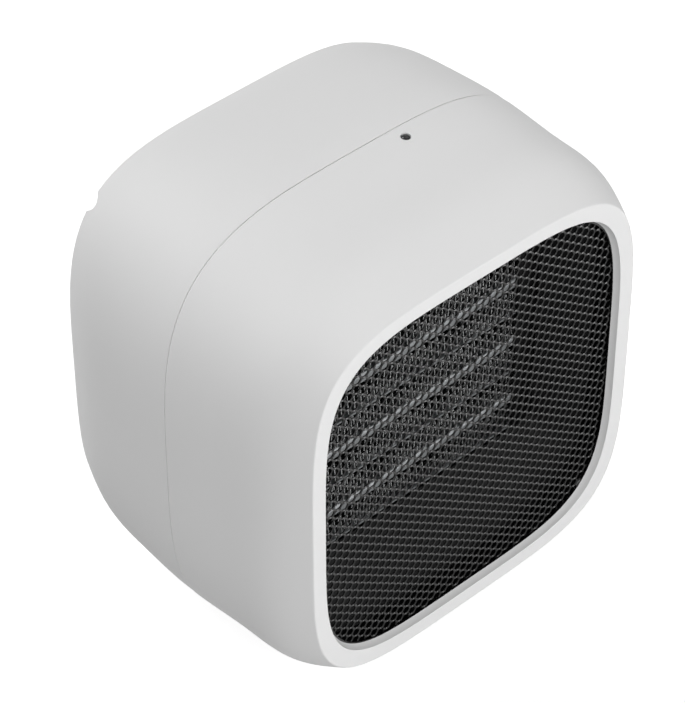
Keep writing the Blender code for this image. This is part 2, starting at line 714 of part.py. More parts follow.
def front_shell():
    """The front half of the body: the rim, its opening, four screw columns and the lamp's posts."""
    edge = edge_arc(0, RIM_EDGE_RADIUS, -1)
    rings = [body_ring(y, inset) for y, inset in reversed(edge)]
    rings += [body_ring(y) for y in depths_from_front(RIM_EDGE_RADIUS, SEAM_DEPTH, 4)[1:]]
    shell = piece("front_shell", loft("front_shell", rings), WHITE_ABS)

    lap_start = SEAM_DEPTH - LAP_DEPTH
    rings = [body_ring(y, WALL) for y in depths_from_front(RIM_THICKNESS, lap_start, 3)]
    rings += [body_ring(y, LAP_WALL) for y in (lap_start, SEAM_DEPTH + OVERRUN)]
    cavity = cutter("front_cavity", loft("front_cavity", rings))
    columns = rods("columns", COLUMN_RADIUS, pocket_spots(), RIM_THICKNESS - OVERRUN / 2, SEAM_DEPTH,
                   COLUMN_STEPS)
    combine(cavity, "DIFFERENCE", cutter("columns", columns))
    combine(cavity, "DIFFERENCE", cutter("led_posts", led_posts()))
    boss_reach = lens_flange_radius() + LENS_BOSS
    lens_boss = block("lens_boss", (LENS_X - boss_reach, LENS_DEPTH - boss_reach, lens_flange_top() + GAP),
                      (LENS_X + boss_reach, lap_start, HALF_HEIGHT))
    combine(cavity, "DIFFERENCE", cutter("lens_boss", lens_boss))

    pads = cutter("front_foot_pads", foot_pads("front_foot_pads", FOOT_DEPTH_SHARES[0]))
    seats = cutter("front_foot_seats", foot_seats("front_foot_seats", FOOT_DEPTH_SHARES[0]))
    half_width, half_height, squareness = body_section(0, RIM_BAND)
    opening_rings = [ring(y, half_width, half_height, squareness)
                     for y in (-OVERRUN, RIM_THICKNESS + OVERRUN)]
    opening = cutter("outlet_opening", loft("outlet_opening", opening_rings))
    pilot_start = SEAM_DEPTH - SHELL_SCREW_LENGTH
    pilots = rods("pilots", SHELL_SCREW_RADIUS + GAP, pocket_spots(), pilot_start, SEAM_DEPTH + OVERRUN,
                  HOLE_STEPS)
    top = lens_surface()
    lens_hole = rod("lens_hole", LENS_RADIUS + LENS_FIT, (LENS_X, LENS_DEPTH, lens_flange_top()),
                    (LENS_X, LENS_DEPTH, top + OVERRUN), BORE_STEPS)
    combine(shell, "UNION", pads)
    combine(shell, "DIFFERENCE", cavity, seats, opening, cutter("pilots", pilots))
    combine(shell, "DIFFERENCE", cutter("lens_hole", lens_hole))
    return shell


def board_post_spots():
    """Where the control board's posts stand, as (x, y)."""
    return [(side * BOARD_SCREW_X, BOARD_BACK - BOARD_DEPTH / 2) for side in (-1, 1)]


def switch_cutout():
    """The opening for the switch's body in the rear panel."""
    half_length = SWITCH_BODY_LENGTH / 2 + GAP
    half_height = SWITCH_BODY_HEIGHT / 2 + GAP
    return block("switch_cutout", (SWITCH_X - half_length, PANEL_INNER - OVERRUN, SWITCH_Z - half_height),
                 (SWITCH_X + half_length, PANEL_OUTER + OVERRUN, SWITCH_Z + half_height))


def rear_shell():
    """The rear half: the tongue at the seam, deep screw pockets, the recessed panel and its openings."""
    depths = depths_to_back(REAR_START, BODY_DEPTH - REAR_EDGE_RADIUS, 4)[:-1]
    edge = edge_arc(BODY_DEPTH, REAR_EDGE_RADIUS, 1)
    rings = [body_ring(y) for y in depths] + [body_ring(y, inset) for y, inset in edge]
    shell = piece("rear_shell", loft("rear_shell", rings), WHITE_ABS)

    tongue_front = SEAM_DEPTH - LAP_DEPTH + GAP
    rings = [body_ring(y, LAP_WALL + GAP) for y in (tongue_front, REAR_START + LAP_DEPTH)]
    tongue = cutter("tongue", loft("tongue", rings))

    rings = [body_ring(y, WALL) for y in depths_to_back(tongue_front - OVERRUN, PANEL_INNER, 3)]
    cavity = cutter("rear_cavity", loft("rear_cavity", rings))
    boss_radius = POCKET_RADIUS + BOSS_WALL
    bosses = rods("bosses", boss_radius, pocket_spots(), REAR_START, BODY_DEPTH, POST_STEPS)
    posts = rods("posts", POST_RADIUS, post_spots(), RING_BACK + GAP, PANEL_INNER + OVERRUN / 2, POST_STEPS)
    board_bottom = BOARD_TOP - BOARD_THICKNESS - GAP
    board_posts = [rod("board_posts", BOARD_POST_RADIUS, (x, y, -HALF_HEIGHT), (x, y, board_bottom),
                       POST_STEPS) for x, y in board_post_spots()]
    combine(cavity, "DIFFERENCE", cutter("bosses", bosses), cutter("posts", posts))
    combine(cavity, "DIFFERENCE", cutter("board_posts", joined_mesh("board_posts", *board_posts)))

    pads = cutter("rear_foot_pads", foot_pads("rear_foot_pads", FOOT_DEPTH_SHARES[1]))
    seats = cutter("rear_foot_seats", foot_seats("rear_foot_seats", FOOT_DEPTH_SHARES[1]))
    half_width, half_height, squareness = body_section(BODY_DEPTH, REAR_BAND)
    recess_rings = [ring(y, half_width, half_height, squareness)
                    for y in (PANEL_OUTER, BODY_DEPTH + OVERRUN)]
    recess = cutter("recess", loft("recess", recess_rings))
    floor = REAR_START + POCKET_FLOOR
    pockets = rods("pockets", POCKET_RADIUS, pocket_spots(), floor, BODY_DEPTH + OVERRUN, POST_STEPS)
    holes = rods("screw_holes", SHELL_SCREW_RADIUS + GAP, pocket_spots(), REAR_START - OVERRUN,
                 floor + OVERRUN, HOLE_STEPS)
    start, end = PANEL_INNER - OVERRUN, PANEL_OUTER + OVERRUN
    intake = rod("intake_opening", INTAKE_RADIUS, (0, start, 0), (0, end, 0), ROUND_STEPS)
    bushing_hole = rod("bushing_hole", BUSHING_BORE + BUSHING_WALL + GAP, (BUSHING_X, start, SWITCH_Z),
                       (BUSHING_X, end, SWITCH_Z), BORE_STEPS)
    post_pilots = rods("post_pilots", SMALL_SCREW_RADIUS + GAP, post_spots(),
                       RING_BACK - OVERRUN, RING_BACK + GAP + MODULE_SCREW_LENGTH, HOLE_STEPS)
    board_pilots = [rod("board_pilots", SMALL_SCREW_RADIUS + GAP,
                        (x, y, board_bottom - BOARD_SCREW_LENGTH), (x, y, board_bottom + OVERRUN), HOLE_STEPS)
                    for x, y in board_post_spots()]
    combine(shell, "UNION", tongue, pads)
    combine(shell, "DIFFERENCE", cavity, recess, seats)
    combine(shell, "DIFFERENCE", cutter("pockets", pockets), cutter("screw_holes", holes))
    combine(shell, "DIFFERENCE", cutter("intake_opening", intake), cutter("switch_cutout", switch_cutout()))
    combine(shell, "DIFFERENCE", cutter("bushing_hole", bushing_hole), cutter("post_pilots", post_pilots))
    combine(shell, "DIFFERENCE", cutter("board_pilots", joined_mesh("board_pilots", *board_pilots)))
    return shell


def feet():
    """Four rubber feet, seated in the shells' pads."""
    names = (("foot_front_left", "foot_front_right"), ("foot_rear_left", "foot_rear_right"))
    for share, pair in zip(FOOT_DEPTH_SHARES, names):
        for name, (x, y) in zip(pair, foot_spots(share)):
            floor = -BODY_CENTRE_Z
            edge = FOOT_SEAT / 2
            profile = [(0, FOOT_THICKNESS), (FOOT_RADIUS, FOOT_THICKNESS), (FOOT_RADIUS, edge),
                       (FOOT_RADIUS - edge, 0), (0, 0)]
            mesh = turned(name, profile, FOOT_STEPS, "Z")
            mesh.transform(Matrix.Translation((x, y, floor)))
            piece(name, mesh, RUBBER)


def scallops(name):
    """Corner cuts that clear the front shell's screw columns."""
    return rods(name, COLUMN_RADIUS + GAP, pocket_spots(), 0, SEAM_DEPTH, COLUMN_STEPS)


def hexagon(x, z, radius, turn):
    """The corners of a six-sided cell."""
    return [(x + radius * math.cos(turn + math.pi / 3 * k), z + radius * math.sin(turn + math.pi / 3 * k))
            for k in range(6)]


def clipped(points, outline):
    """The part of a polygon that lies inside a convex outline, both going round the same way."""
    for (ax, az), (bx, bz) in zip(outline, outline[1:] + outline[:1]):
        sides = [(bx - ax) * (z - az) - (bz - az) * (x - ax) for x, z in points]
        kept = []
        for i, (x, z) in enumerate(points):
            previous, before = points[i - 1], sides[i - 1]
            if (before >= 0) != (sides[i] >= 0):
                share = before / (before - sides[i])
                kept.append((between(previous[0], x, share), between(previous[1], z, share)))
            if sides[i] >= 0:
                kept.append((x, z))
        points = kept
    return points


def area_of(points):
    """The area that a polygon encloses."""
    return sum(points[i - 1][0] * z - x * points[i - 1][1] for i, (x, z) in enumerate(points)) / 2


def honeycomb_cells(outline):
    """The cells of a lattice, turned a little from upright, cut off where they pass the outline."""
    turn = math.radians(CELL_TURN_DEG)
    along = Vector((math.sin(turn), math.cos(turn))) * CELL_PITCH
    across = Vector((math.cos(math.pi / 6 - turn), math.sin(math.pi / 6 - turn))) * CELL_PITCH
    reach = int(2 * HALF_HEIGHT / CELL_PITCH) + 1
    radius = (CELL_PITCH - CELL_WEB) / math.sqrt(3)
    whole = area_of(hexagon(0, 0, radius, 0))
    cells = []
    for i in range(-reach, reach + 1):
        for j in range(-reach, reach + 1):
            cell = clipped(hexagon(*(along * i + across * j), radius, -turn), outline)
            if area_of(cell) > CELL_KEEP_SHARE * whole:
                cells.append(cell)
    return cells


def outlet_grille():
    """The black honeycomb behind the rim. Each coarse cell stands where several fine ones are."""
    inner = body_section(RIM_THICKNESS, WALL + GRILLE_FIT)
    outline = [outline_point(2 * math.pi * i / OUTLINE_STEPS, *inner) for i in range(OUTLINE_STEPS)]
    inside = body_section(0, RIM_BAND + GRILLE_BORDER)
    border = [outline_point(2 * math.pi * i / OUTLINE_STEPS, *inside) for i in range(OUTLINE_STEPS)]
    holes = honeycomb_cells(border)
    mesh = sheet("outlet_grille", [outline] + holes, GRILLE_FRONT, GRILLE_THICKNESS)
    grille = piece("outlet_grille", mesh, BLACK_METAL)
    combine(grille, "DIFFERENCE", cutter("grille_scallops", scallops("grille_scallops")))
    return grille


def flange_ring(y):
    """The outline of the flanges where the duct and the shroud meet."""
    return ring(y, FLANGE_HALF_WIDTH, FLANGE_HALF_HEIGHT, COLLAR_SQUARENESS)


def between(a, b, share):
    """The size a share of the way from a to b."""
    return a + (b - a) * share


def duct_screw_spots():
    """Where the duct and the shroud are screwed together, at two opposite corners."""
    return [(-DUCT_SCREW_X, DUCT_SCREW_Z), (DUCT_SCREW_X, -DUCT_SCREW_Z)]


def heater_slot_heights():
    """Heights of the bars' middles."""
    return [(i - (BAR_COUNT - 1) / 2) * BAR_PITCH for i in range(BAR_COUNT)]


def outlet_duct():
    """The funnel from the grille down to the collar round the heater, as one tube of even wall."""
    mouth = body_section(RIM_THICKNESS, DUCT_MOUTH_INSET)
    flange = body_section(RIM_THICKNESS, WALL + GRILLE_FIT)
    throat = (COLLAR_HALF_WIDTH, COLLAR_HALF_HEIGHT, COLLAR_SQUARENESS)
    throat_depth = DUCT_FRONT + DUCT_LENGTH

    def funnel(share, extra, offset=0.0):
        half_width, half_height = (between(mouth[i], throat[i], share) + extra for i in (0, 1))
        squareness = 1 / between(1 / mouth[2], 1 / throat[2], share ** 2)
        return ring(between(DUCT_FRONT, throat_depth, share) + offset, half_width, half_height, squareness)

    shares = (0.0, 0.5, 1.0)
    flange_back = DUCT_FRONT + DUCT_FLANGE
    rings = [ring(DUCT_FRONT, *flange)]
    rings += [funnel(share, 0) for share in shares]
    rings += [ring(COLLAR_BACK, *throat)]
    rings += [flange_ring(COLLAR_BACK), flange_ring(COLLAR_BACK - JOINT_FLANGE)]
    collar_outer = (COLLAR_HALF_WIDTH + DUCT_WALL, COLLAR_TOP, COLLAR_SQUARENESS)
    rings += [ring(COLLAR_BACK - JOINT_FLANGE, *collar_outer)]
    rings += [funnel(share, DUCT_WALL, DUCT_FLANGE) for share in reversed(shares)]
    rings += [ring(flange_back, *flange)]
    duct = piece("outlet_duct", loft("outlet_duct", rings, closed=True), BLACK_PLASTIC)
    combine(duct, "DIFFERENCE", cutter("duct_scallops", scallops("duct_scallops")))
    holes = rods("duct_screw_holes", SMALL_SCREW_RADIUS + GAP, duct_screw_spots(),
                 COLLAR_BACK - JOINT_FLANGE - OVERRUN / 2, COLLAR_BACK + OVERRUN, HOLE_STEPS)
    combine(duct, "DIFFERENCE", cutter("duct_screw_holes", holes))
    half_width = TERMINAL_WIDTH / 2 + GAP
    half_height = TERMINAL_THICKNESS / 2 + GAP
    start = COLLAR_HALF_WIDTH - DUCT_WALL / 2
    slots = [block("terminal_slots", (start, HEATER_MIDDLE - half_width, z - half_height),
                   (FLANGE_HALF_WIDTH + OVERRUN, COLLAR_BACK + OVERRUN, z + half_height))
             for z in heater_slot_heights()]
    combine(duct, "DIFFERENCE", cutter("terminal_slots", joined_mesh("terminal_slots", *slots)))
    return duct


def fin_row(name, z):
    """One corrugated aluminium strip, folded up and down between a bar and a plate."""
    folds = 2 * FIN_FOLDS
    reach = FIN_HEIGHT / 2 - FIN_THICKNESS / 2
    half_width = FIN_PACK_WIDTH / 2 - FIN_THICKNESS
    bm = bmesh.new()
    rows = []
    for i in range(folds + 1):
        x = half_width * (2 * i / folds - 1)
        height = z + (reach if i % 2 else -reach)
        rows.append([bm.verts.new((x, y, height)) for y in (HEATER_FRONT, HEATER_BACK)])
    for row, following in zip(rows, rows[1:]):
        bm.faces.new((row[0], row[1], following[1], following[0]))
    mesh = bpy.data.meshes.new(name)
    bm.to_mesh(mesh)
    bm.free()
    fins = piece(name, mesh, ALUMINIUM)
    solidify = fins.modifiers.new("thickness", "SOLIDIFY")
    solidify.thickness = FIN_THICKNESS
    solidify.offset = 0
    return fins


def heater_stack():
    """Bars, fin rows and plates, from the bottom plate up."""
    bar_names = ("ptc_bar_lower", "ptc_bar_middle", "ptc_bar_upper")
    for z, name in zip(heater_slot_heights(), bar_names):
        half = BAR_HEIGHT / 2
        mesh = block(name, (-BAR_HALF_LENGTH, HEATER_FRONT, z - half),
                     (BAR_HALF_LENGTH, HEATER_BACK, z + half), BAR_EDGE)
        bar = piece(name, mesh, ALUMINIUM)
        half_width, half_height = TERMINAL_WIDTH / 2, TERMINAL_THICKNESS / 2
        tab = block(name + "_tab", (FRAME_INNER, HEATER_MIDDLE - half_width, z - half_height),
                    (BAR_HALF_LENGTH + TERMINAL_LENGTH, HEATER_MIDDLE + half_width, z + half_height))
        combine(bar, "UNION", cutter(name + "_tab", tab))
    from_bar = BAR_HEIGHT / 2 + GAP + FIN_HEIGHT / 2
    row_heights = [z + side * from_bar for z in heater_slot_heights() for side in (-1, 1)]
    for i, z in enumerate(row_heights):
        fin_row(f"heater_fins_{i + 1}", z)
    for i in range(BAR_COUNT + 1):
        z = (i - BAR_COUNT / 2) * BAR_PITCH
        half = PLATE_THICKNESS / 2
        mesh = block(f"heater_plate_{i + 1}", (-FIN_PACK_WIDTH / 2, HEATER_FRONT, z - half),
                     (FIN_PACK_WIDTH / 2, HEATER_BACK, z + half))
        piece(f"heater_plate_{i + 1}", mesh, ALUMINIUM)


def heater_frame_end(name, side):
    """An end bracket with a socket for each bar, and on the right a slit for each terminal."""
    inner, outer = sorted((side * FRAME_INNER, side * FRAME_OUTER))
    height = PACK_HALF_HEIGHT
    mesh = block(name, (inner, HEATER_FRONT, -height), (outer, HEATER_BACK, height), FRAME_BEVEL)
    frame = piece(name, mesh, BLACK_PLASTIC)
    half = BAR_HEIGHT / 2 + GAP
    sockets = []
    for z in heater_slot_heights():
        ends = sorted((side * (FRAME_INNER - OVERRUN), side * (BAR_HALF_LENGTH + GAP)))
        sockets.append(block("sockets", (ends[0], HEATER_FRONT - OVERRUN, z - half),
                             (ends[1], HEATER_BACK + OVERRUN, z + half)))
    combine(frame, "DIFFERENCE", cutter(name + "_sockets", joined_mesh("sockets", *sockets)))
    if side > 0:
        reach = TERMINAL_WIDTH / 2 + GAP
        half = TERMINAL_THICKNESS / 2 + GAP
        slits = [block("slits", (BAR_HALF_LENGTH, HEATER_MIDDLE - reach, z - half),
                       (FRAME_OUTER + OVERRUN, HEATER_MIDDLE + reach, z + half))
                 for z in heater_slot_heights()]
        combine(frame, "DIFFERENCE", cutter("terminal_slits", joined_mesh("slits", *slits)))
    return frame


def fan_shroud():
    """The shroud from the heater's rectangle to the fan's circle, with the motor's cup on four spokes."""
    def throat(share, extra):
        half_width = between(COLLAR_HALF_WIDTH, SHROUD_RADIUS, share) + extra
        half_height = between(COLLAR_HALF_HEIGHT, SHROUD_RADIUS, share) + extra
        squareness = 1 / between(1 / COLLAR_SQUARENESS, 1 / 2, share)
        return ring(between(SHROUD_FRONT, RING_FRONT, share), half_width, half_height, squareness)

    after_flange = JOINT_FLANGE / SHROUD_THROAT
    halfway = between(after_flange, 1, 0.5)
    rings = [flange_ring(SHROUD_FRONT)]
    rings += [throat(share, 0) for share in (0.0, halfway, 1.0)]
    rings += [ring(RING_BACK, SHROUD_RADIUS, SHROUD_RADIUS, 2), ring(RING_BACK, RING_OUTER, RING_OUTER, 2)]
    rings += [throat(share, SHROUD_WALL) for share in (1.0, halfway, after_flange)]
    rings += [flange_ring(SHROUD_FRONT + JOINT_FLANGE)]
    shroud = piece("fan_shroud", loft("fan_shroud", rings, closed=True), BLACK_PLASTIC)

    spokes = []
    for k in range(SPOKE_COUNT):
        turn = Matrix.Rotation(2 * math.pi * (k + 0.5) / SPOKE_COUNT, 4, "Y")
        reach = (SHROUD_RADIUS + RING_OUTER) / 2
        spoke = block("spoke", ((CUP_INNER + CUP_OUTER) / 2, RING_BACK - SPOKE_DEPTH + GAP, -SPOKE_WIDTH / 2),
                      (reach, RING_BACK - GAP, SPOKE_WIDTH / 2))
        spoke.transform(turn)
        spokes.append(spoke)
    cup_back = CUP_FRONT + MOTOR_CUP_LENGTH
    bearing_hole = BEARING_RADIUS + GAP
    profile = [(bearing_hole, CUP_FRONT + MOTOR_CUP_FLOOR), (bearing_hole, CUP_FRONT), (CUP_OUTER, CUP_FRONT),
               (CUP_OUTER, cup_back), (CUP_INNER, cup_back), (CUP_INNER, CUP_FRONT + MOTOR_CUP_FLOOR)]
    cup = turned("motor_cup", profile, MOTOR_STEPS)
    ears = rods("ears", EAR_RADIUS, post_spots(), RING_BACK - EAR_THICKNESS, RING_BACK - GAP / 2, POST_STEPS)
    combine(shroud, "UNION", cutter("motor_cup", cup), cutter("spokes", joined_mesh("spokes", *spokes)))
    combine(shroud, "UNION", cutter("ears", ears))
    ear_holes = rods("ear_holes", SMALL_SCREW_RADIUS + GAP, post_spots(),
                     RING_BACK - EAR_THICKNESS - OVERRUN, RING_BACK + OVERRUN, HOLE_STEPS)
    flange_holes = rods("flange_holes", SMALL_SCREW_RADIUS + GAP, duct_screw_spots(),
                        SHROUD_FRONT - OVERRUN, SHROUD_FRONT + JOINT_FLANGE + OVERRUN / 2, HOLE_STEPS)
    motor_holes = rods("motor_holes", SMALL_SCREW_RADIUS + GAP, motor_screw_spots(),
                       CUP_FRONT - OVERRUN, CUP_FRONT + MOTOR_CUP_FLOOR + OVERRUN, HOLE_STEPS)
    combine(shroud, "DIFFERENCE", cutter("ear_holes", ear_holes), cutter("flange_holes", flange_holes))
    combine(shroud, "DIFFERENCE", cutter("motor_holes", motor_holes))
    return shroud


def motor_screw_spots():
    """Where the motor is screwed into its cup."""
    return [(MOTOR_SCREW_CIRCLE, 0), (-MOTOR_SCREW_CIRCLE, 0)]


def motor():
    """The motor's can with its bearing nose, the end cap and the shaft that turns in it."""
    bore = SHAFT_RADIUS + RUNNING_CLEARANCE
    bore_end = MOTOR_FRONT + SHAFT_BORE_DEPTH
    profile = [(0, bore_end), (bore, bore_end), (bore, BEARING_FRONT), (BEARING_RADIUS, BEARING_FRONT),
               (BEARING_RADIUS, MOTOR_FRONT), (MOTOR_RADIUS - MOTOR_EDGE, MOTOR_FRONT),
               (MOTOR_RADIUS, MOTOR_FRONT + MOTOR_EDGE), (MOTOR_RADIUS, MOTOR_BACK), (0, MOTOR_BACK)]
    can = piece("motor_can", turned("motor_can", profile, MOTOR_STEPS), STEEL)
    pilot_end = MOTOR_FRONT + SHAFT_BORE_DEPTH / 2
    pilots = rods("motor_pilots", SMALL_SCREW_RADIUS + GAP, motor_screw_spots(),
                  MOTOR_FRONT - OVERRUN, pilot_end, HOLE_STEPS)
    combine(can, "DIFFERENCE", cutter("motor_pilots", pilots))

    start = MOTOR_BACK + GAP
    middle = start + MOTOR_CAP / 2
    end = start + MOTOR_CAP
    nose = BEARING_RADIUS
    profile = [(0, start), (MOTOR_RADIUS, start), (MOTOR_RADIUS, middle),
               (MOTOR_RADIUS - MOTOR_EDGE, middle + MOTOR_EDGE / 2), (nose, middle + MOTOR_EDGE / 2),
               (nose, end), (0, end)]
    piece("motor_end_cap", turned("motor_end_cap", profile, MOTOR_STEPS), BLACK_PLASTIC)

    shaft_start = FAN_FRONT - GAP
    shaft_end = bore_end - GAP
    shaft = rod("motor_shaft", SHAFT_RADIUS, (0, 0, 0), (0, shaft_end - shaft_start, 0), POST_STEPS)
    piece("motor_shaft", shaft, STEEL, location=(0, shaft_start, 0))

    seats = [(x, CUP_FRONT - GAP, z) for x, z in motor_screw_spots()]
    length = pilot_end - CUP_FRONT
    small_screws("motor_screw", seats, length, HEAD_FRONT)


def fan_blade(name, turn):
    """One twisted, cambered blade as an open sheet, which a Solidify thickens."""
    root = FAN_HUB_RADIUS - FAN_HUB_WALL / 2
    bm = bmesh.new()
    rows = []
    for i in range(BLADE_SPANS + 1):
        share = i / BLADE_SPANS
        radius = between(root, FAN_TIP_RADIUS, share)
        chord = between(BLADE_ROOT_CHORD, BLADE_TIP_CHORD, share)
        pitch = math.radians(between(BLADE_ROOT_PITCH_DEG, BLADE_TIP_PITCH_DEG, share))
        row = []
        for j in range(BLADE_CHORDS + 1):
            place = j / BLADE_CHORDS - 0.5
            along = place * chord
            bulge = BLADE_CAMBER_SHARE * chord * (1 - 4 * place * place)
            tangent = along * math.cos(pitch) - bulge * math.sin(pitch)
            depth = along * math.sin(pitch) + bulge * math.cos(pitch)
            angle = turn + tangent / radius
            row.append(bm.verts.new((radius * math.cos(angle), depth, radius * math.sin(angle))))
        rows.append(row)
    for row, following in zip(rows, rows[1:]):
        for j in range(BLADE_CHORDS):
            bm.faces.new((row[j], row[j + 1], following[j + 1], following[j]))
    mesh = bpy.data.meshes.new(name)
    bm.to_mesh(mesh)
    bm.free()
    return mesh


def fan_impeller():
    """The axial fan: a cupped hub with a bored boss, and twisted blades moulded onto it."""
    length = FAN_HUB_LENGTH
    bore = SHAFT_RADIUS + RUNNING_CLEARANCE
    boss_end = BEARING_FRONT - FAN_TO_BEARING - FAN_FRONT
    inner = FAN_HUB_RADIUS - FAN_HUB_WALL
    profile = [(bore, boss_end), (bore, 0), (FAN_HUB_RADIUS - FAN_HUB_ROUND, 0),
               (FAN_HUB_RADIUS, FAN_HUB_ROUND), (FAN_HUB_RADIUS, length), (inner, length),
               (inner, FAN_HUB_WALL + FAN_HUB_ROUND / 2), (inner - FAN_HUB_ROUND / 2, FAN_HUB_WALL),
               (FAN_BOSS_RADIUS, FAN_HUB_WALL), (FAN_BOSS_RADIUS, boss_end)]
    hub = turned("fan_impeller", profile, HUB_STEPS)
    fan = piece("fan_impeller", hub, BLACK_PLASTIC, location=(0, FAN_FRONT, 0))
    blades = [fan_blade("blades", 2 * math.pi * k / FAN_BLADES) for k in range(FAN_BLADES)]
    sheets = cutter("blades", joined_mesh("blades", *blades), location=(0, FAN_FRONT + length / 2, 0))
    solidify = sheets.modifiers.new("thickness", "SOLIDIFY")
    solidify.thickness = BLADE_THICKNESS
    solidify.offset = 0
    combine(fan, "UNION", sheets)
    return fan


def slot_outline(angle, start, end):
    """A radial slot with pointed ends, as points in (x, z)."""
    half = SLOT_WIDTH / 2
    shape = [(start, 0), (start + half, -half), (end - half, -half), (end, 0), (end - half, half),
             (start + half, half)]
    c, s = math.cos(angle), math.sin(angle)
    return [(r * c - w * s, r * s + w * c) for r, w in shape]


def intake_grille():
    """The round grille in the back, with two rings of radial slots and a spigot into the panel."""
    radius = INTAKE_RADIUS + INTAKE_FLANGE
    outline = [outline_point(2 * math.pi * i / ROUND_STEPS, radius, radius, 2) for i in range(ROUND_STEPS)]
    slots = [slot_outline(2 * math.pi * (k + 0.5) / count, start * INTAKE_RADIUS, end * INTAKE_RADIUS)
             for start, end, count in SLOT_RING_SHARES for k in range(count)]
    front = PANEL_OUTER + GAP
    disc = sheet("intake_grille", [outline] + slots, front, INTAKE_THICKNESS)
    grille = piece("intake_grille", disc, WHITE_ABS)
    outer = INTAKE_RADIUS - GAP
    profile = [(outer, front - INTAKE_SPIGOT_LENGTH), (outer, front + INTAKE_THICKNESS / 2),
               (outer - INTAKE_SPIGOT, front + INTAKE_THICKNESS / 2),
               (outer - INTAKE_SPIGOT, front - INTAKE_SPIGOT_LENGTH)]
    combine(grille, "UNION", cutter("spigot", turned("spigot", profile, ROUND_STEPS)))
    return grille


def power_switch():
    """The switch's housing, its terminals, and the rocker on its pin."""
    def span(half_length, half_height, start, end):
        return ((SWITCH_X - half_length, start, SWITCH_Z - half_height),
                (SWITCH_X + half_length, end, SWITCH_Z + half_height))

    bezel = span(SWITCH_BEZEL_LENGTH / 2, SWITCH_BEZEL_HEIGHT / 2, SWITCH_FRONT, SWITCH_FACE)
    body = span(SWITCH_BODY_LENGTH / 2, SWITCH_BODY_HEIGHT / 2, SWITCH_BACK, SWITCH_FACE - SWITCH_BEZEL / 2)
    half_length = SWITCH_BODY_LENGTH / 2 - SWITCH_WALL
    half_height = SWITCH_BODY_HEIGHT / 2 - SWITCH_WALL
    well = span(half_length, half_height, PIVOT_DEPTH - SWITCH_FLOOR, SWITCH_FACE + OVERRUN)
    housing = piece("switch_housing", block("switch_housing", *bezel, SWITCH_EDGE), BLACK_PLASTIC)
    combine(housing, "UNION", cutter("switch_body", block("switch_body", *body)))
    pin_reach = half_height + ROCKER_PIN_END
    socket_reach = pin_reach + RUNNING_CLEARANCE
    socket = rod("pin_socket", ROCKER_PIN_RADIUS + RUNNING_CLEARANCE,
                 (SWITCH_X, PIVOT_DEPTH, SWITCH_Z - socket_reach),
                 (SWITCH_X, PIVOT_DEPTH, SWITCH_Z + socket_reach), BORE_STEPS)
    combine(housing, "DIFFERENCE", cutter("switch_well", block("switch_well", *well)))
    combine(housing, "DIFFERENCE", cutter("pin_socket", socket))

    half = ROCKER_LENGTH / 2
    foot = SWITCH_FLOOR - ROCKER_FLOOR_CLEARANCE
    turns = [math.radians(degrees) for degrees in ROCKER_UNDERSIDE_DEG]
    under = [(foot * math.cos(a), foot * math.sin(a)) for a in turns]
    profile = [(half, ROCKER_CREST), (0, ROCKER_VALLEY), (-half, ROCKER_CREST)] + list(reversed(under))
    rocker_half = half_height - SWITCH_FIT
    bm = bmesh.new()
    ends = [[bm.verts.new((x, y, side * rocker_half)) for x, y in profile] for side in (-1, 1)]
    for end in ends:
        bm.faces.new(end)
    for i in range(len(profile)):
        j = (i + 1) % len(profile)
        bm.faces.new((ends[0][i], ends[0][j], ends[1][j], ends[1][i]))
    tilt = (0, 0, -math.radians(ROCKER_TILT_DEG))
    pivot = (SWITCH_X, PIVOT_DEPTH, SWITCH_Z)
    rocker = piece("switch_rocker", mesh_from("switch_rocker", bm), BLACK_PLASTIC, pivot, tilt)
    pin = rod("rocker_pin", ROCKER_PIN_RADIUS, (0, 0, -pin_reach), (0, 0, pin_reach), BORE_STEPS)
    combine(rocker, "UNION", cutter("rocker_pin", pin, pivot))

    for name, side in (("switch_terminal_left", -1), ("switch_terminal_right", 1)):
        spade = block(name, (-TERMINAL_THICKNESS / 2, -SPADE_LENGTH, -TERMINAL_WIDTH / 2),
                      (TERMINAL_THICKNESS / 2, 0, TERMINAL_WIDTH / 2))
        piece(name, spade, BRASS, (SWITCH_X + side * SPADE_SPACING / 2, SWITCH_BACK - GAP, SWITCH_Z))


def cable_bushing():
    """The grommet that the supply cord would pass through."""
    outer = BUSHING_BORE + BUSHING_WALL
    lip = outer + BUSHING_LIP
    face = PANEL_OUTER + GAP
    start = PANEL_INNER - BUSHING_INNER_LENGTH
    round_off = BUSHING_LIP_THICKNESS / 3
    end = face + BUSHING_LIP_THICKNESS
    profile = [(BUSHING_BORE, start), (outer, start), (outer, face), (lip, face), (lip, end - round_off),
               (lip - round_off, end), (BUSHING_BORE, end)]
    mesh = turned("cable_bushing", list(reversed(profile)), BORE_STEPS)
    mesh.transform(Matrix.Translation((BUSHING_X, 0, SWITCH_Z)))
    piece("cable_bushing", mesh, BLACK_PLASTIC)


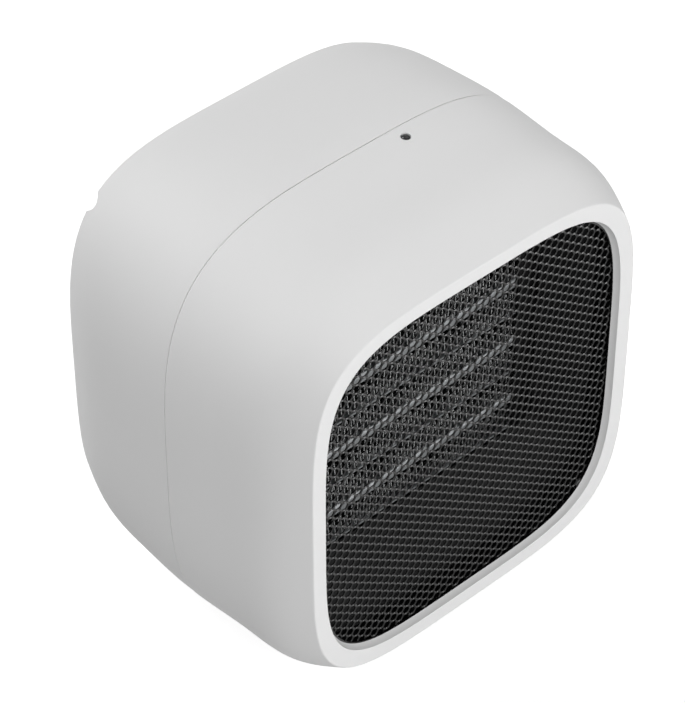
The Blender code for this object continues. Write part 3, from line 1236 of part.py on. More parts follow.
def control_board():
    """The board on its posts, with a capacitor, a terminal block and the sealed tilt switch."""
    low = (-BOARD_WIDTH / 2, BOARD_BACK - BOARD_DEPTH, BOARD_TOP - BOARD_THICKNESS)
    high = (BOARD_WIDTH / 2, BOARD_BACK, BOARD_TOP)
    board = piece("control_board", block("control_board", low, high), BOARD_GREEN)
    holes = [rod("board_holes", SMALL_SCREW_RADIUS + GAP, (x, y, low[2] - OVERRUN),
                 (x, y, BOARD_TOP + OVERRUN), HOLE_STEPS) for x, y in board_post_spots()]
    combine(board, "DIFFERENCE", cutter("board_holes", joined_mesh("board_holes", *holes)))
    middle = BOARD_BACK - BOARD_DEPTH / 2
    seat = BOARD_TOP + GAP
    for name, x, size, finish in (("board_capacitor", CAPACITOR_X, CAPACITOR_SIZE, GREY_PART),
                                  ("terminal_block", TERMINAL_BLOCK_X, TERMINAL_BLOCK_SIZE, BOARD_GREEN)):
        mesh = block(name, (x - size[0] / 2, middle - size[1] / 2, seat),
                     (x + size[0] / 2, middle + size[1] / 2, seat + size[2]), PART_EDGE)
        piece(name, mesh, finish)
    profile = [(0, TILT_SWITCH_HEIGHT), (TILT_SWITCH_RADIUS - PART_EDGE, TILT_SWITCH_HEIGHT),
               (TILT_SWITCH_RADIUS, TILT_SWITCH_HEIGHT - PART_EDGE), (TILT_SWITCH_RADIUS, 0), (0, 0)]
    can = turned("tilt_switch", profile, POST_STEPS, "Z")
    can.transform(Matrix.Translation((TILT_SWITCH_X, middle, seat)))
    piece("tilt_switch", can, STEEL)
    seats = [(x, y, seat) for x, y in board_post_spots()]
    small_screws("board_screw", seats, BOARD_SCREW_LENGTH, HEAD_UP)


def indicator():
    """The lens through the shell's top, the lamp under it and the lamp's small board."""
    top = lens_surface()
    flange_top = lens_flange_top()
    flange = lens_flange_radius()
    profile = [(0, top), (LENS_RADIUS / 2, top - LENS_FIT / 3), (LENS_RADIUS, top - LENS_FIT),
               (LENS_RADIUS, flange_top), (flange, flange_top), (flange, flange_top - LENS_FLANGE_THICKNESS),
               (0, flange_top - LENS_FLANGE_THICKNESS)]
    lens = turned("indicator_lens", profile, BORE_STEPS, "Z")
    lens.transform(Matrix.Translation((LENS_X, LENS_DEPTH, 0)))
    piece("indicator_lens", lens, DARK_LENS)

    led_top = flange_top - LENS_FLANGE_THICKNESS - GAP
    dome = LED_RADIUS / 2
    foot = LED_RADIUS + LED_RIM
    base = led_top - LED_LENGTH
    profile = [(0, led_top), (dome, led_top - dome / 3), (LED_RADIUS, led_top - 2 * dome),
               (LED_RADIUS, base + dome), (foot, base + dome), (foot, base), (0, base)]
    lamp = turned("indicator_led", profile, POST_STEPS, "Z")
    lamp.transform(Matrix.Translation((LENS_X, LENS_DEPTH, 0)))
    piece("indicator_led", lamp, DARK_LENS)

    x, y = led_board_centre()
    board_top = led_board_top()
    low = (x - LED_BOARD_WIDTH / 2, y - LED_BOARD_DEPTH / 2, board_top - LED_BOARD_THICKNESS)
    high = (x + LED_BOARD_WIDTH / 2, y + LED_BOARD_DEPTH / 2, board_top)
    board = piece("led_board", block("led_board", low, high), BOARD_GREEN)
    holes = [rod("led_board_holes", LED_STAKE_RADIUS + GAP, (sx, sy, low[2] - OVERRUN),
                 (sx, sy, board_top + OVERRUN), HOLE_STEPS) for sx, sy in led_post_spots()]
    combine(board, "DIFFERENCE", cutter("led_board_holes", joined_mesh("led_board_holes", *holes)))


def cut_outs():
    """The disc thermostat and the thermal fuse on the collar's top."""
    seat = COLLAR_TOP + GAP
    base = seat + THERMOSTAT_BASE
    top = base + THERMOSTAT_HEIGHT
    profile = [(0, top), (THERMOSTAT_RADIUS - PART_EDGE, top), (THERMOSTAT_RADIUS, top - PART_EDGE),
               (THERMOSTAT_RADIUS, seat), (0, seat)]
    disc = turned("thermostat", profile, DISC_STEPS, "Z")
    disc.transform(Matrix.Translation((0, COLLAR_MIDDLE, 0)))
    thermostat = piece("thermostat", disc, BLACK_PLASTIC)
    half_length, half_width = THERMOSTAT_BASE_LENGTH / 2, THERMOSTAT_RADIUS / 2
    strap = block("thermostat_strap", (-half_length, COLLAR_MIDDLE - half_width, seat + GAP),
                  (half_length, COLLAR_MIDDLE + half_width, base))
    combine(thermostat, "UNION", cutter("thermostat_strap", strap))
    centre = seat + FUSE_RADIUS
    fuse = rod("thermal_fuse", FUSE_RADIUS, (FUSE_X - FUSE_LENGTH / 2, COLLAR_MIDDLE, centre),
               (FUSE_X + FUSE_LENGTH / 2, COLLAR_MIDDLE, centre), POST_STEPS)
    piece("thermal_fuse", fuse, GREY_PART)


def module_fasteners():
    """The screws that hold the shells, the shroud's ears and the duct's flange."""
    floor = REAR_START + POCKET_FLOOR + GAP
    seats = [(x, floor, z) for x, z in pocket_spots()]
    length = POCKET_FLOOR + SHELL_SCREW_LENGTH - SHELL_SCREW_RADIUS
    screws("shell_screw", seats, SHELL_SCREW_HEAD_RADIUS, SHELL_SCREW_HEAD, SHELL_SCREW_RADIUS, length,
           HEAD_BACK)
    seats = [(x, RING_BACK - EAR_THICKNESS - GAP, z) for x, z in post_spots()]
    small_screws("shroud_screw", seats, EAR_THICKNESS + MODULE_SCREW_LENGTH, HEAD_FRONT)
    seats = [(x, COLLAR_BACK - JOINT_FLANGE - GAP, z) for x, z in duct_screw_spots()]
    small_screws("duct_screw", seats, 2 * JOINT_FLANGE + GAP, HEAD_FRONT)


def main():
    clear_scene()
    start_collections()
    front_shell()
    rear_shell()
    feet()
    outlet_grille()
    outlet_duct()
    heater_stack()
    heater_frame_end("heater_frame_left", -1)
    heater_frame_end("heater_frame_right", 1)
    fan_shroud()
    motor()
    fan_impeller()
    intake_grille()
    power_switch()
    cable_bushing()
    control_board()
    indicator()
    cut_outs()
    module_fasteners()
    bpy.context.view_layer.update()


main()
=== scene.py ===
"""The looks of the mini desktop fan heater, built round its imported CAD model.

Pieces are made in the body's own frame, as in the CAD: x to the right, y back from the front rim,
z up from the middle of the outlet. show() then carries each mesh to where the heater stands.
Lengths are in metres.
"""

import math

import bmesh
import bpy
import numpy as np
from mathutils import Matrix, Vector


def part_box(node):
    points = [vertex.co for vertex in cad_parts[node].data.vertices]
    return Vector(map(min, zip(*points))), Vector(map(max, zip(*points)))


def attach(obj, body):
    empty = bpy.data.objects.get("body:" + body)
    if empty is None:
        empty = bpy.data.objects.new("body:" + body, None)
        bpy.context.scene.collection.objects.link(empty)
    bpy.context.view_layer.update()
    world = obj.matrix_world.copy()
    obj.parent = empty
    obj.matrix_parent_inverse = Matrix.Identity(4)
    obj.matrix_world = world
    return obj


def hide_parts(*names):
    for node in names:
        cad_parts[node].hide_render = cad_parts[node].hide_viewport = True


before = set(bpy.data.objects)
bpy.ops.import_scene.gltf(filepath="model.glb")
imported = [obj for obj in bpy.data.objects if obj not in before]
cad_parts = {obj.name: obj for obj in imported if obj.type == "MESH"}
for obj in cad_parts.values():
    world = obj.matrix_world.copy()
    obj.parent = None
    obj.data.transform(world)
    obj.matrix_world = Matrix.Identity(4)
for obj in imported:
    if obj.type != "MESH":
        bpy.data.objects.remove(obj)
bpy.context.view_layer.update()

# Frame of the body
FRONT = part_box("front_shell")[0].y
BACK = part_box("rear_shell")[1].y
MIDDLE_HEIGHT = (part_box("outlet_grille")[0].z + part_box("outlet_grille")[1].z) / 2
DEPTH = BACK - FRONT
HALF_WIDTH = 0.0600
HALF_HEIGHT = 0.0625
PROFILE = ((0.0, 0.864), (0.12, 0.940), (0.28, 0.972), (0.50, 1.0), (0.72, 0.987), (0.88, 0.952),
           (1.0, 0.885))  # share of the depth, share of the full size
SQUARENESS = ((0.0, 4.35), (0.5, 3.53), (1.0, 3.90))  # share of the depth, power of the rounded square
STEPS = 192
WALL = 0.0024
GAP = 0.0003
EDGE_MARGIN = 0.00025  # flat strip beside an edge that keeps the edge's shading off the face
OVERRUN = 0.002  # how far a cutter reaches past what it cuts

# Rim and opening
RIM_BAND = 0.0041
RIM_THICKNESS = 0.0019
RIM_EDGE = 0.00025
OPENING_EDGE = 0.00012
OPENING_LIP = 0.0006
OPENING_TAPER = 0.00055
OPENING_X = -0.00025
OPENING_Z = 0.00030

# Seam: the front half's edge is rounded, and the rear half starts a step further in
SEAM = 0.0420
SEAM_EDGE = 0.0001
SEAM_ROUND = 0.00090
SEAM_ROUND_TURN = math.radians(40)
SEAM_STEP = 0.00015
SEAM_STEP_REACH = 0.005
SEAM_GAP = 0.00014
LAP_DEPTH = 0.0020
LAP_WALL = 0.0011

# Back, with its recessed panel
REAR_EDGE = 0.0016
REAR_BAND = 0.0050
RECESS_EDGE = 0.0005
PANEL_OUTER = DEPTH - 0.0030
PANEL_INNER = PANEL_OUTER - 0.0022
SWITCH_CUTOUT = (0.0073, 0.0045)  # half-length, half-height
BUSHING_HOLE = 0.0048

# Corner pockets with the shell screws
POCKET_RADIUS = 0.0030
POCKET_INSET = 0.00125
POCKET_START = SEAM + GAP + 0.0040
BOSS_RADIUS = 0.0046
COLUMN_RADIUS = 0.0030
PILOT_DEPTH = 0.012
SCREW_RADIUS = 0.0014

# Screws: head radius, head height, thread radius
SHELL_SCREW = (0.0025, 0.0020, SCREW_RADIUS)
SMALL_SCREW = (0.0019, 0.0013, 0.0010)

# Feet and their moulded pads
FOOT_X = 0.0300
FOOT_DEPTHS = (0.25 * DEPTH, 0.77 * DEPTH)
FOOT_RADIUS = 0.0046
FOOT_HEIGHT = 0.0020
FOOT_CLEARANCE = 0.00008
PAD_WALL = 0.0014
PAD_EDGE = 0.0003
PAD_LIFT = 0.0010

# Outlet mesh and its flat border
MESH_FRONT = 0.0023
MESH_PITCH = 0.00244
MESH_WEB = 0.00050
MESH_THICKNESS = 0.00045
MESH_SLOPE = 0.00016  # how far a web falls from its crest to its hole
MESH_CORNER = 1.075  # a hole's reach at its rounded corners over that at its sides
MESH_TURN = math.radians(24.0)
MESH_REACH = 0.62 * MESH_PITCH  # how far past the opening a cell's middle may lie
MESH_WELD = 0.00002
BORDER_INNER = RIM_BAND + 0.0009
BORDER_OUTER = WALL + 0.0012
BORDER_SEAT = 0.00005
BORDER_THICKNESS = 0.0002

# Duct: its throat and its joint with the collar as half-width, half-height and squareness
DUCT_FLANGE_INSET = WALL + 0.0004
DUCT_MOUTH_INSET = 0.0046
DUCT_THROAT = (0.0384, 0.0289, 40.0)
DUCT_JOINT = (0.0408, 0.0359, 40.0)
DUCT_STRAIGHT = 0.0050
DUCT_THROAT_DEPTH = 0.0145
DUCT_WALL = 0.0014
DUCT_FLANGE = 0.0018
DUCT_STEPS = 144
TAB_SLIT_SPAN = (0.0377, 0.0430)
TAB_SLIT_HALF_DEPTH = 0.0027
TAB_SLIT_HALF_HEIGHT = 0.0007

# Heating element
FIN_PITCH = 0.0021
FIN_SHEET = 0.00018
FIN_FLATNESS = 1.30  # height of the waves before their tops and bottoms are cut flat
FIN_POINTS = 12
FIN_SHOWN = 0.0313
LIP_THICKNESS = 0.0005
LIP_CLEARANCE = 0.0001
LIP_EDGE = 0.0001

# Intake grille: each ring of slots as start, end and number
INTAKE_RADIUS = 0.0330
INTAKE_EDGE = 0.0006
SPIGOT_WALL = 0.001
SLOT_WIDTH = 0.0036
SLOT_FLARE = 0.0003
SLOT_RINGS = ((0.00495, 0.01551, 8), (0.01749, 0.03069, 18))

# Indicator
LENS_X = 0.0120
LENS_Y = 0.0381
LENS_RADIUS = 0.0011
LENS_CLEARANCE = 0.00020
LENS_DOME = 0.0005

FLOOR_REACH = 6.0
LAMP_TARGET = Vector((0, 0, 0.06))
MATH = "ShaderNodeMath"


# ---- camera, floor and light

def new_object(name, data):
    """A new object in the scene."""
    item = bpy.data.objects.new(name, data)
    bpy.context.scene.collection.objects.link(item)
    return item


def set_camera():
    """The photograph's view from the front left, well above, fitted to the heater's outline."""
    camera = new_object("camera", bpy.data.cameras.new("camera"))
    camera.data.lens = 155.62
    camera.data.sensor_width = 36
    place = Vector((-0.37597, -0.40406, 0.55493))
    back = Vector((-0.5062, -0.5493, 0.6649)).normalized()
    side = Vector((0.7354, -0.6777, 0)).normalized()
    up = back.cross(side)
    camera.matrix_world = Matrix.Translation(place) @ Matrix((side, up, back)).transposed().to_4x4()
    bpy.context.scene.camera = camera


def lamp(name, place, size, strength):
    """A square softbox aimed at the heater."""
    light = bpy.data.lights.new(name, "AREA")
    light.shape = "SQUARE"
    light.size = size
    light.energy = strength
    item = new_object(name, light)
    item.location = place
    item.rotation_euler = (Vector(place) - LAMP_TARGET).to_track_quat("Z", "Y").to_euler()


def linear(hex_colour):
    """Linear RGBA from an sRGB hex colour."""
    channels = [int(hex_colour[i:i + 2], 16) / 255 for i in (0, 2, 4)]
    return tuple(c / 12.92 if c <= 0.04045 else ((c + 0.055) / 1.055) ** 2.4 for c in channels) + (1,)


def add(tree, kind, links=None, **settings):
    """Adds a node: settings are its properties, links its inputs.

    Each input is given a value, another node's output, or another node, which stands for its first output.
    """
    node = tree.nodes.new(kind)
    for name, value in settings.items():
        setattr(node, name, value)
    for key, value in (links or {}).items():
        if isinstance(value, bpy.types.Node):
            value = value.outputs[0]
        if isinstance(value, bpy.types.NodeSocket):
            tree.links.new(value, node.inputs[key])
        else:
            node.inputs[key].default_value = value
    return node


def cleared(owner):
    """The node tree of a material or world, emptied."""
    owner.use_nodes = True
    owner.node_tree.nodes.clear()
    return owner.node_tree


def seen(tree):
    """One for rays that show a surface to the camera, straight, mirrored or through glass, zero for light."""
    rays = add(tree, "ShaderNodeLightPath").outputs
    mirrored = add(tree, MATH, {0: rays["Is Camera Ray"], 1: rays["Is Glossy Ray"]}, operation="MAXIMUM")
    return add(tree, MATH, {0: mirrored, 1: rays["Is Transmission Ray"]}, operation="MAXIMUM")


def set_stage():
    """A white floor that keeps the heater's soft shadow, white surroundings and five softboxes."""
    floor_mesh = bpy.data.meshes.new("floor")
    floor_mesh.from_pydata([(-FLOOR_REACH, -FLOOR_REACH, 0), (FLOOR_REACH, -FLOOR_REACH, 0),
                            (FLOOR_REACH, FLOOR_REACH, 0), (-FLOOR_REACH, FLOOR_REACH, 0)], [], [(0, 1, 2, 3)])
    floor = new_object("floor", floor_mesh)
    paper = bpy.data.materials.new("white_paper")
    tree = cleared(paper)
    # the paper glows for the camera, a little less near the heater, so that its shadow stays
    sheet = add(tree, "ShaderNodeBsdfDiffuse", {"Color": linear("B0B0B0")})
    place = add(tree, "ShaderNodeTexCoord").outputs["Object"]
    distance = add(tree, "ShaderNodeVectorMath", {0: place}, operation="LENGTH").outputs["Value"]
    strength = add(tree, "ShaderNodeMapRange",
                   {"Value": distance, "From Min": 0.35, "From Max": 1.6, "To Min": 0.80, "To Max": 1.0})
    shine = add(tree, "ShaderNodeEmission", {"Color": (1, 1, 1, 1), "Strength": strength})
    glow = add(tree, "ShaderNodeAddShader", {0: sheet, 1: shine})
    shown = add(tree, "ShaderNodeMixShader", {0: seen(tree), 1: sheet, 2: glow})
    add(tree, "ShaderNodeOutputMaterial", {"Surface": shown})
    floor_mesh.materials.append(paper)

    world = bpy.context.scene.world or bpy.data.worlds.new("surroundings")
    bpy.context.scene.world = world
    tree = cleared(world)
    white = add(tree, "ShaderNodeBackground", {"Color": (1, 1, 1, 1), "Strength": seen(tree)})
    add(tree, "ShaderNodeOutputWorld", {"Surface": white})

    lamp("front_softbox", (-0.40, -1.60, 0.55), 1.2, 14.9)
    lamp("right_softbox", (1.10, -1.50, 0.35), 0.8, 15.6)
    lamp("back_softbox", (-0.30, 1.30, 1.30), 1.0, 25.8)
    lamp("left_softbox", (-1.25, -0.90, 1.05), 0.8, 9.7)
    lamp("top_softbox", (0.75, 0.30, 1.45), 0.8, 2.6)


# ---- materials

def material(name, colour, roughness, metallic=0.0, grain=0.0004, relief=0.0, stretch=(1, 1, 1), tint=0.03,
             spread=0.06, specular=0.5, painted_shade=None):
    """A finish whose fine grain moves its roughness and height, and whose clouds move its colour.

    grain is the grain's size, and a cloud is some 33 grains wide. tint and spread say how far the colour
    and the roughness move. The last argument gives the depth where a painted shade starts to darken the colour,
    how far the darkening takes and the shaded colour it ends in.
    """
    made = bpy.data.materials.new(name)
    tree = cleared(made)
    place = add(tree, "ShaderNodeTexCoord").outputs["Object"]
    fitted = add(tree, "ShaderNodeMapping", {"Vector": place, "Scale": stretch})
    grains = add(tree, "ShaderNodeTexNoise", {"Vector": fitted, "Scale": 1 / grain, "Detail": 3.0})
    clouds = add(tree, "ShaderNodeTexNoise", {"Vector": fitted, "Scale": 0.03 / grain, "Detail": 2.0})
    base = linear(colour)
    darker = tuple(c * (1 - tint) for c in base[:3]) + (1,)
    shade = add(tree, "ShaderNodeMix", {"Factor": clouds, 6: darker, 7: base}, data_type="RGBA").outputs[2]
    # painted shade: the colour darkens with depth into the part, standing in for the shade inside it
    if painted_shade:
        start, reach, shaded_end_colour = painted_shade
        depth = add(tree, "ShaderNodeSeparateXYZ", {0: place}).outputs["Y"]
        share = add(tree, "ShaderNodeMapRange", {"Value": depth, "From Min": start, "From Max": start + reach})
        shade = add(tree, "ShaderNodeMix", {"Factor": share, 6: shade, 7: linear(shaded_end_colour)},
                    data_type="RGBA").outputs[2]
    gloss = add(tree, "ShaderNodeMapRange",
                {"Value": grains, "To Min": roughness - spread, "To Max": roughness + spread})
    links = {"Base Color": shade, "Roughness": gloss, "Metallic": metallic, "Specular IOR Level": specular}
    if relief:
        links["Normal"] = add(tree, "ShaderNodeBump", {"Height": grains, "Distance": relief, "Strength": 1.0})
    shader = add(tree, "ShaderNodeBsdfPrincipled", links)
    add(tree, "ShaderNodeOutputMaterial", {"Surface": shader})
    return made


# White ABS from a fine spark-eroded mould: matt, with an even grain that only softens reflections
WHITE_ABS = material("abs_white_fine_moulded", "E0E0E0", 0.56, grain=0.00035, relief=0.000006, tint=0.010,
                     spread=0.05, specular=0.10)
# Expanded steel mesh under black paint: satin, so that each web's upper edge glints
BLACK_MESH = material("steel_mesh_black_painted", "070707", 0.22, grain=0.00030, relief=0.000003, tint=0.2,
                      spread=0.04, specular=0.36)
# Glass-filled PBT, moulded black: dull, with a slight mottle from the fibres
BLACK_PBT = material("pbt_black_moulded", "050506", 0.46, grain=0.00045, relief=0.000006, tint=0.25,
                     spread=0.06, specular=0.13)
# Polypropylene fan, moulded black: smoother than the duct
FAN_BLACK = material("polypropylene_black", "1C1C1D", 0.40, grain=0.00060, relief=0.000004, tint=0.15,
                     spread=0.05)
# Thin aluminium strip, bright at the front; behind the front edge its colour turns to a painted shade, standing
# in for the shade deep between the folds
FIN_ALUMINIUM = material("aluminium_strip_painted_shade_behind", "F2F3F4", 0.24, 1.0, grain=0.00030, relief=0.000003,
                         stretch=(1, 0.15, 1), tint=0.12, spread=0.10,
                         painted_shade=(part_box("heater_fins_1")[0].y + 0.0002, 0.0010, "1E1F20"))
# Extruded aluminium bar, duller and flatter than the fins' cut edges
BAR_ALUMINIUM = material("aluminium_extruded", "ACAEB0", 0.46, 1.0, grain=0.00035, relief=0.000003,
                         stretch=(0.15, 1, 1), tint=0.12, spread=0.10)
# Zinc-plated steel: clear plating with a faint cloudiness
ZINC_STEEL = material("steel_zinc_plated", "9A9C9E", 0.30, 1.0, grain=0.00050, tint=0.12, spread=0.08)
# Stamped brass terminals: warm and smooth from the die
BRASS = material("brass_stamped", "B59A55", 0.34, 1.0, grain=0.00040, tint=0.12, spread=0.08)
# Nylon switch, moulded black with a slight shine
BLACK_NYLON = material("nylon_black_moulded", "121212", 0.30, grain=0.00050, relief=0.000004, tint=0.2,
                       spread=0.05)
# Soft PVC bushing: dull black
BLACK_PVC = material("pvc_black_soft", "17171A", 0.60, grain=0.00060, relief=0.000008, tint=0.2)
# Rubber feet: dull black without a highlight
RUBBER = material("rubber_black", "1B1B1B", 0.82, grain=0.00040, relief=0.000012, tint=0.2)
# Glass epoxy board under green solder mask: a soft shine over the weave
BOARD_GREEN = material("glass_epoxy_green", "1F5A38", 0.38, grain=0.00120, relief=0.000006, tint=0.2)
# Film capacitor and fuse, dipped in grey epoxy: an even half shine
GREY_EPOXY = material("epoxy_grey", "5A5C60", 0.42, grain=0.00080, relief=0.000006, tint=0.12)
# Phenolic thermostat body: brownish black, pressed dull
PHENOLIC = material("phenolic_black", "1E1A18", 0.48, grain=0.00060, relief=0.000006, tint=0.2)
# Smoked polycarbonate lens, polished: nearly black, with a sharp highlight
SMOKED_LENS = material("polycarbonate_smoked", "08080A", 0.07, grain=0.00100, tint=0.1, spread=0.01,
                       specular=0.3)


# ---- shapes

def box_of(node):
    """A CAD node's lowest and highest corners in the body's frame."""
    offset = Vector((0, FRONT, MIDDLE_HEIGHT))
    return tuple(Vector(corner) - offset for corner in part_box(node))


def centre_of(node):
    """The middle of a CAD node's box in the body's frame."""
    low, high = box_of(node)
    return (low + high) / 2


def between(a, b, share):
    """The size a share of the way from a to b."""
    return a + (b - a) * share


def quarter(steps):
    """Angles from zero to a quarter turn."""
    return [math.pi / 2 * k / steps for k in range(steps + 1)]


def spline_through(x, knots):
    """The value at x of a smooth curve through the knots, whose bend never jumps."""
    places, values = (np.array(column) for column in zip(*knots))
    spans, rises = np.diff(places), np.diff(values)
    count = len(places)
    system, right = np.eye(count), np.zeros(count)
    for k in range(1, count - 1):
        system[k, k - 1:k + 2] = spans[k - 1], 2 * (spans[k - 1] + spans[k]), spans[k]
        right[k] = 6 * (rises[k] / spans[k] - rises[k - 1] / spans[k - 1])
    bends = np.linalg.solve(system, right)
    k = int(np.clip(np.searchsorted(places, x) - 1, 0, count - 2))
    a, b = (places[k + 1] - x) / spans[k], (x - places[k]) / spans[k]
    cubic = ((a ** 3 - a) * bends[k] + (b ** 3 - b) * bends[k + 1]) * spans[k] ** 2 / 6
    return float(a * values[k] + b * values[k + 1] + cubic)


def body_section(y, inset=0.0):
    """Half-width, half-height and squareness of the body at a depth, drawn in by an inset."""
    size = spline_through(y / DEPTH, PROFILE)
    return size * HALF_WIDTH - inset, size * HALF_HEIGHT - inset, spline_through(y / DEPTH, SQUARENESS)


def outline(half_width, half_height, squareness, steps=STEPS, even=True):
    """Points (x, z) round a rounded square, evenly spaced or crowded at its corners."""
    angles = np.linspace(0, 2 * math.pi, 8 * steps + 1 if even else steps + 1)
    c, s = np.cos(angles), np.sin(angles)
    x = np.sign(c) * np.abs(c) ** (2 / squareness) * half_width
    z = np.sign(s) * np.abs(s) ** (2 / squareness) * half_height
    if even:
        lengths = np.concatenate([[0], np.cumsum(np.hypot(np.diff(x), np.diff(z)))])
        wanted = np.linspace(0, lengths[-1], steps + 1)
        x, z = np.interp(wanted, lengths, x), np.interp(wanted, lengths, z)
    return list(zip(x[:-1], z[:-1]))


def ring(y, section, steps=STEPS, even=True):
    """One outline at a depth."""
    return [(x, y, z) for x, z in outline(*section, steps, even)]


def body_ring(y, inset=0.0):
    """The body's outline at a depth, drawn in by an inset."""
    return ring(y, body_section(y, inset))


def finished(bm):
    """The mesh of a bmesh, with its faces turned outwards."""
    bmesh.ops.remove_doubles(bm, verts=bm.verts, dist=1e-7)
    bmesh.ops.recalc_face_normals(bm, faces=bm.faces)
    mesh = bpy.data.meshes.new("shape")
    bm.to_mesh(mesh)
    bm.free()
    return mesh


def bridge(bm, row, following):
    """Faces between two rings of vertices."""
    for i in range(len(row)):
        j = (i + 1) % len(row)
        bm.faces.new((row[i], row[j], following[j], following[i]))


def loft(rings, closed=False):
    """A solid through the rings: capped at both ends, or closed on itself into a tube."""
    bm = bmesh.new()
    rows = [[bm.verts.new(p) for p in points] for points in rings]
    pairs = list(zip(rows, rows[1:]))
    if closed:
        pairs.append((rows[-1], rows[0]))
    else:
        bm.faces.new(rows[0])
        bm.faces.new(rows[-1])
    for row, following in pairs:
        bridge(bm, row, following)
    return finished(bm)


def turned(profile, steps=48, axis="Y", at=(0, 0, 0)):
    """A solid of revolution from a profile of (radius, place along the axis)."""
    bm = bmesh.new()
    rows = []
    for radius, place in profile:
        if radius == 0:
            rows.append([bm.verts.new((0, place, 0))])
            continue
        angles = [2 * math.pi * k / steps for k in range(steps)]
        rows.append([bm.verts.new((radius * math.cos(a), place, radius * math.sin(a))) for a in angles])
    closed = len(rows[0]) > 1 or len(rows[-1]) > 1
    for row, following in zip(rows, rows[1:] + rows[:1] if closed else rows[1:]):
        if len(row) == 1 and len(following) == 1:
            continue
        for k in range(steps):
            j = (k + 1) % steps
            corners = [row[k], row[j]] if len(row) > 1 else [row[0]]
            corners += [following[j], following[k]] if len(following) > 1 else [following[0]]
            bm.faces.new(corners)
    if axis == "Z":
        bmesh.ops.transform(bm, matrix=Matrix.Rotation(math.pi / 2, 4, "X"), verts=bm.verts)
    bmesh.ops.translate(bm, vec=at, verts=bm.verts)
    return finished(bm)


def block(low, high, bevel=0.0, segments=2):
    """A box between two corners, with rounded edges."""
    low, high = Vector(low), Vector(high)
    bm = bmesh.new()
    bmesh.ops.create_cube(bm, size=1)
    bmesh.ops.scale(bm, vec=high - low, verts=bm.verts)
    bmesh.ops.translate(bm, vec=(low + high) / 2, verts=bm.verts)
    if bevel:
        bmesh.ops.bevel(bm, geom=bm.edges, offset=bevel, segments=segments, affect="EDGES", profile=0.5)
    return finished(bm)


def joined(meshes):
    """One mesh that holds several separate solids."""
    bm = bmesh.new()
    for mesh in meshes:
        bm.from_mesh(mesh)
        bpy.data.meshes.remove(mesh)
    made = bpy.data.meshes.new("shapes")
    bm.to_mesh(made)
    bm.free()
    return made


def rods(radius, spots, start, end, steps=32, axis="Y"):
    """Cylinders along y at several (x, z) spots, or along z at several (x, y) spots."""
    profile = [(0, start), (radius, start), (radius, end), (0, end)]
    places = [(x, 0, other) if axis == "Y" else (x, other, 0) for x, other in spots]
    return joined([turned(profile, steps, axis, place) for place in places])


def evaluated(item):
    """The plain mesh that an object's modifiers make, after which the object is removed."""
    graph = bpy.context.evaluated_depsgraph_get()
    mesh = bpy.data.meshes.new_from_object(item.evaluated_get(graph))
    bpy.data.objects.remove(item, do_unlink=True)
    return mesh


def combine(mesh, *operations):
    """The mesh after exact Booleans, each given as (operation, operand mesh)."""
    item = new_object("target", mesh)
    operands = []
    for operation, operand in operations:
        other = new_object("operand", operand)
        operands.append(other)
        step = item.modifiers.new("step", "BOOLEAN")
        step.operation = operation
        step.solver = "EXACT"
        step.object = other
    made = evaluated(item)
    for other in operands:
        bpy.data.objects.remove(other, do_unlink=True)
    return made


def cuts(*cutters):
    """The Boolean steps that take each cutter away."""
    return [("DIFFERENCE", cutter) for cutter in cutters]


def without_spurs(mesh):
    """The mesh without the points that a Boolean leaves on one face's edge but not on its neighbour's."""
    bm = bmesh.new()
    bm.from_mesh(mesh)
    bmesh.ops.dissolve_verts(bm, verts=[v for v in bm.verts if len(v.link_edges) == 2])
    return finished(bm)


def walled(mesh, thickness):
    """The mesh with its open front edges joined to its open back edges, a thickness below them."""
    bm = bmesh.new()
    bm.from_mesh(mesh)
    front = [e for e in bm.edges if e.is_boundary and all(v.co.z > -thickness / 2 for v in e.verts)]
    added = bmesh.ops.extrude_edge_only(bm, edges=front)["geom"]
    below = [item for item in added if isinstance(item, bmesh.types.BMVert)]
    bmesh.ops.translate(bm, vec=(0, 0, -thickness), verts=below)
    bmesh.ops.remove_doubles(bm, verts=bm.verts, dist=1e-6)
    return finished(bm)


def show(name, mesh, finish, body, slot, *nodes, angle=32):
    """A finished piece: placed, smoothed, given its material and its body, with the CAD nodes that it stands
    for hidden.
    """
    mesh.transform(Matrix.Translation((0, FRONT, MIDDLE_HEIGHT)))
    mesh.shade_smooth()
    mesh.set_sharp_from_angle(angle=math.radians(angle))
    mesh.materials.clear()
    mesh.materials.append(finish)
    item = new_object(name, mesh)
    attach(item, body)
    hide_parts(*nodes)


def new_tree(name, **inputs):
    """An empty Geometry Nodes tree that takes a geometry, the named sizes and a material."""
    tree = bpy.data.node_groups.new(name, "GeometryNodeTree")
    tree.interface.new_socket("Geometry", in_out="INPUT", socket_type="NodeSocketGeometry")
    for label, kind in inputs.items():
        tree.interface.new_socket(label, in_out="INPUT", socket_type="NodeSocket" + kind)
    tree.interface.new_socket("Material", in_out="INPUT", socket_type="NodeSocketMaterial")
    tree.interface.new_socket("Geometry", in_out="OUTPUT", socket_type="NodeSocketGeometry")
    return tree, add(tree, "NodeGroupInput").outputs


def close_tree(tree, start, geometry):
    """The tree, ended in Realize Instances and Set Material."""
    real = add(tree, "GeometryNodeRealizeInstances", {"Geometry": geometry})
    painted = add(tree, "GeometryNodeSetMaterial", {"Geometry": real, "Material": start["Material"]})
    add(tree, "NodeGroupOutput", {"Geometry": painted})
    return tree


def grown(tree, mesh, finish, **values):
    """The plain mesh that a tree makes from a starting mesh and its named sizes."""
    item = new_object("seed", mesh)
    step = item.modifiers.new("tree", "NODES")
    step.node_group = tree
    for socket in tree.interface.items_tree:
        if socket.in_out == "INPUT" and socket.name in values:
            step[socket.identifier] = values[socket.name]
        elif socket.in_out == "INPUT" and socket.name == "Material":
            step[socket.identifier] = finish
    item.update_tag()
    bpy.context.view_layer.update()
    return evaluated(item)


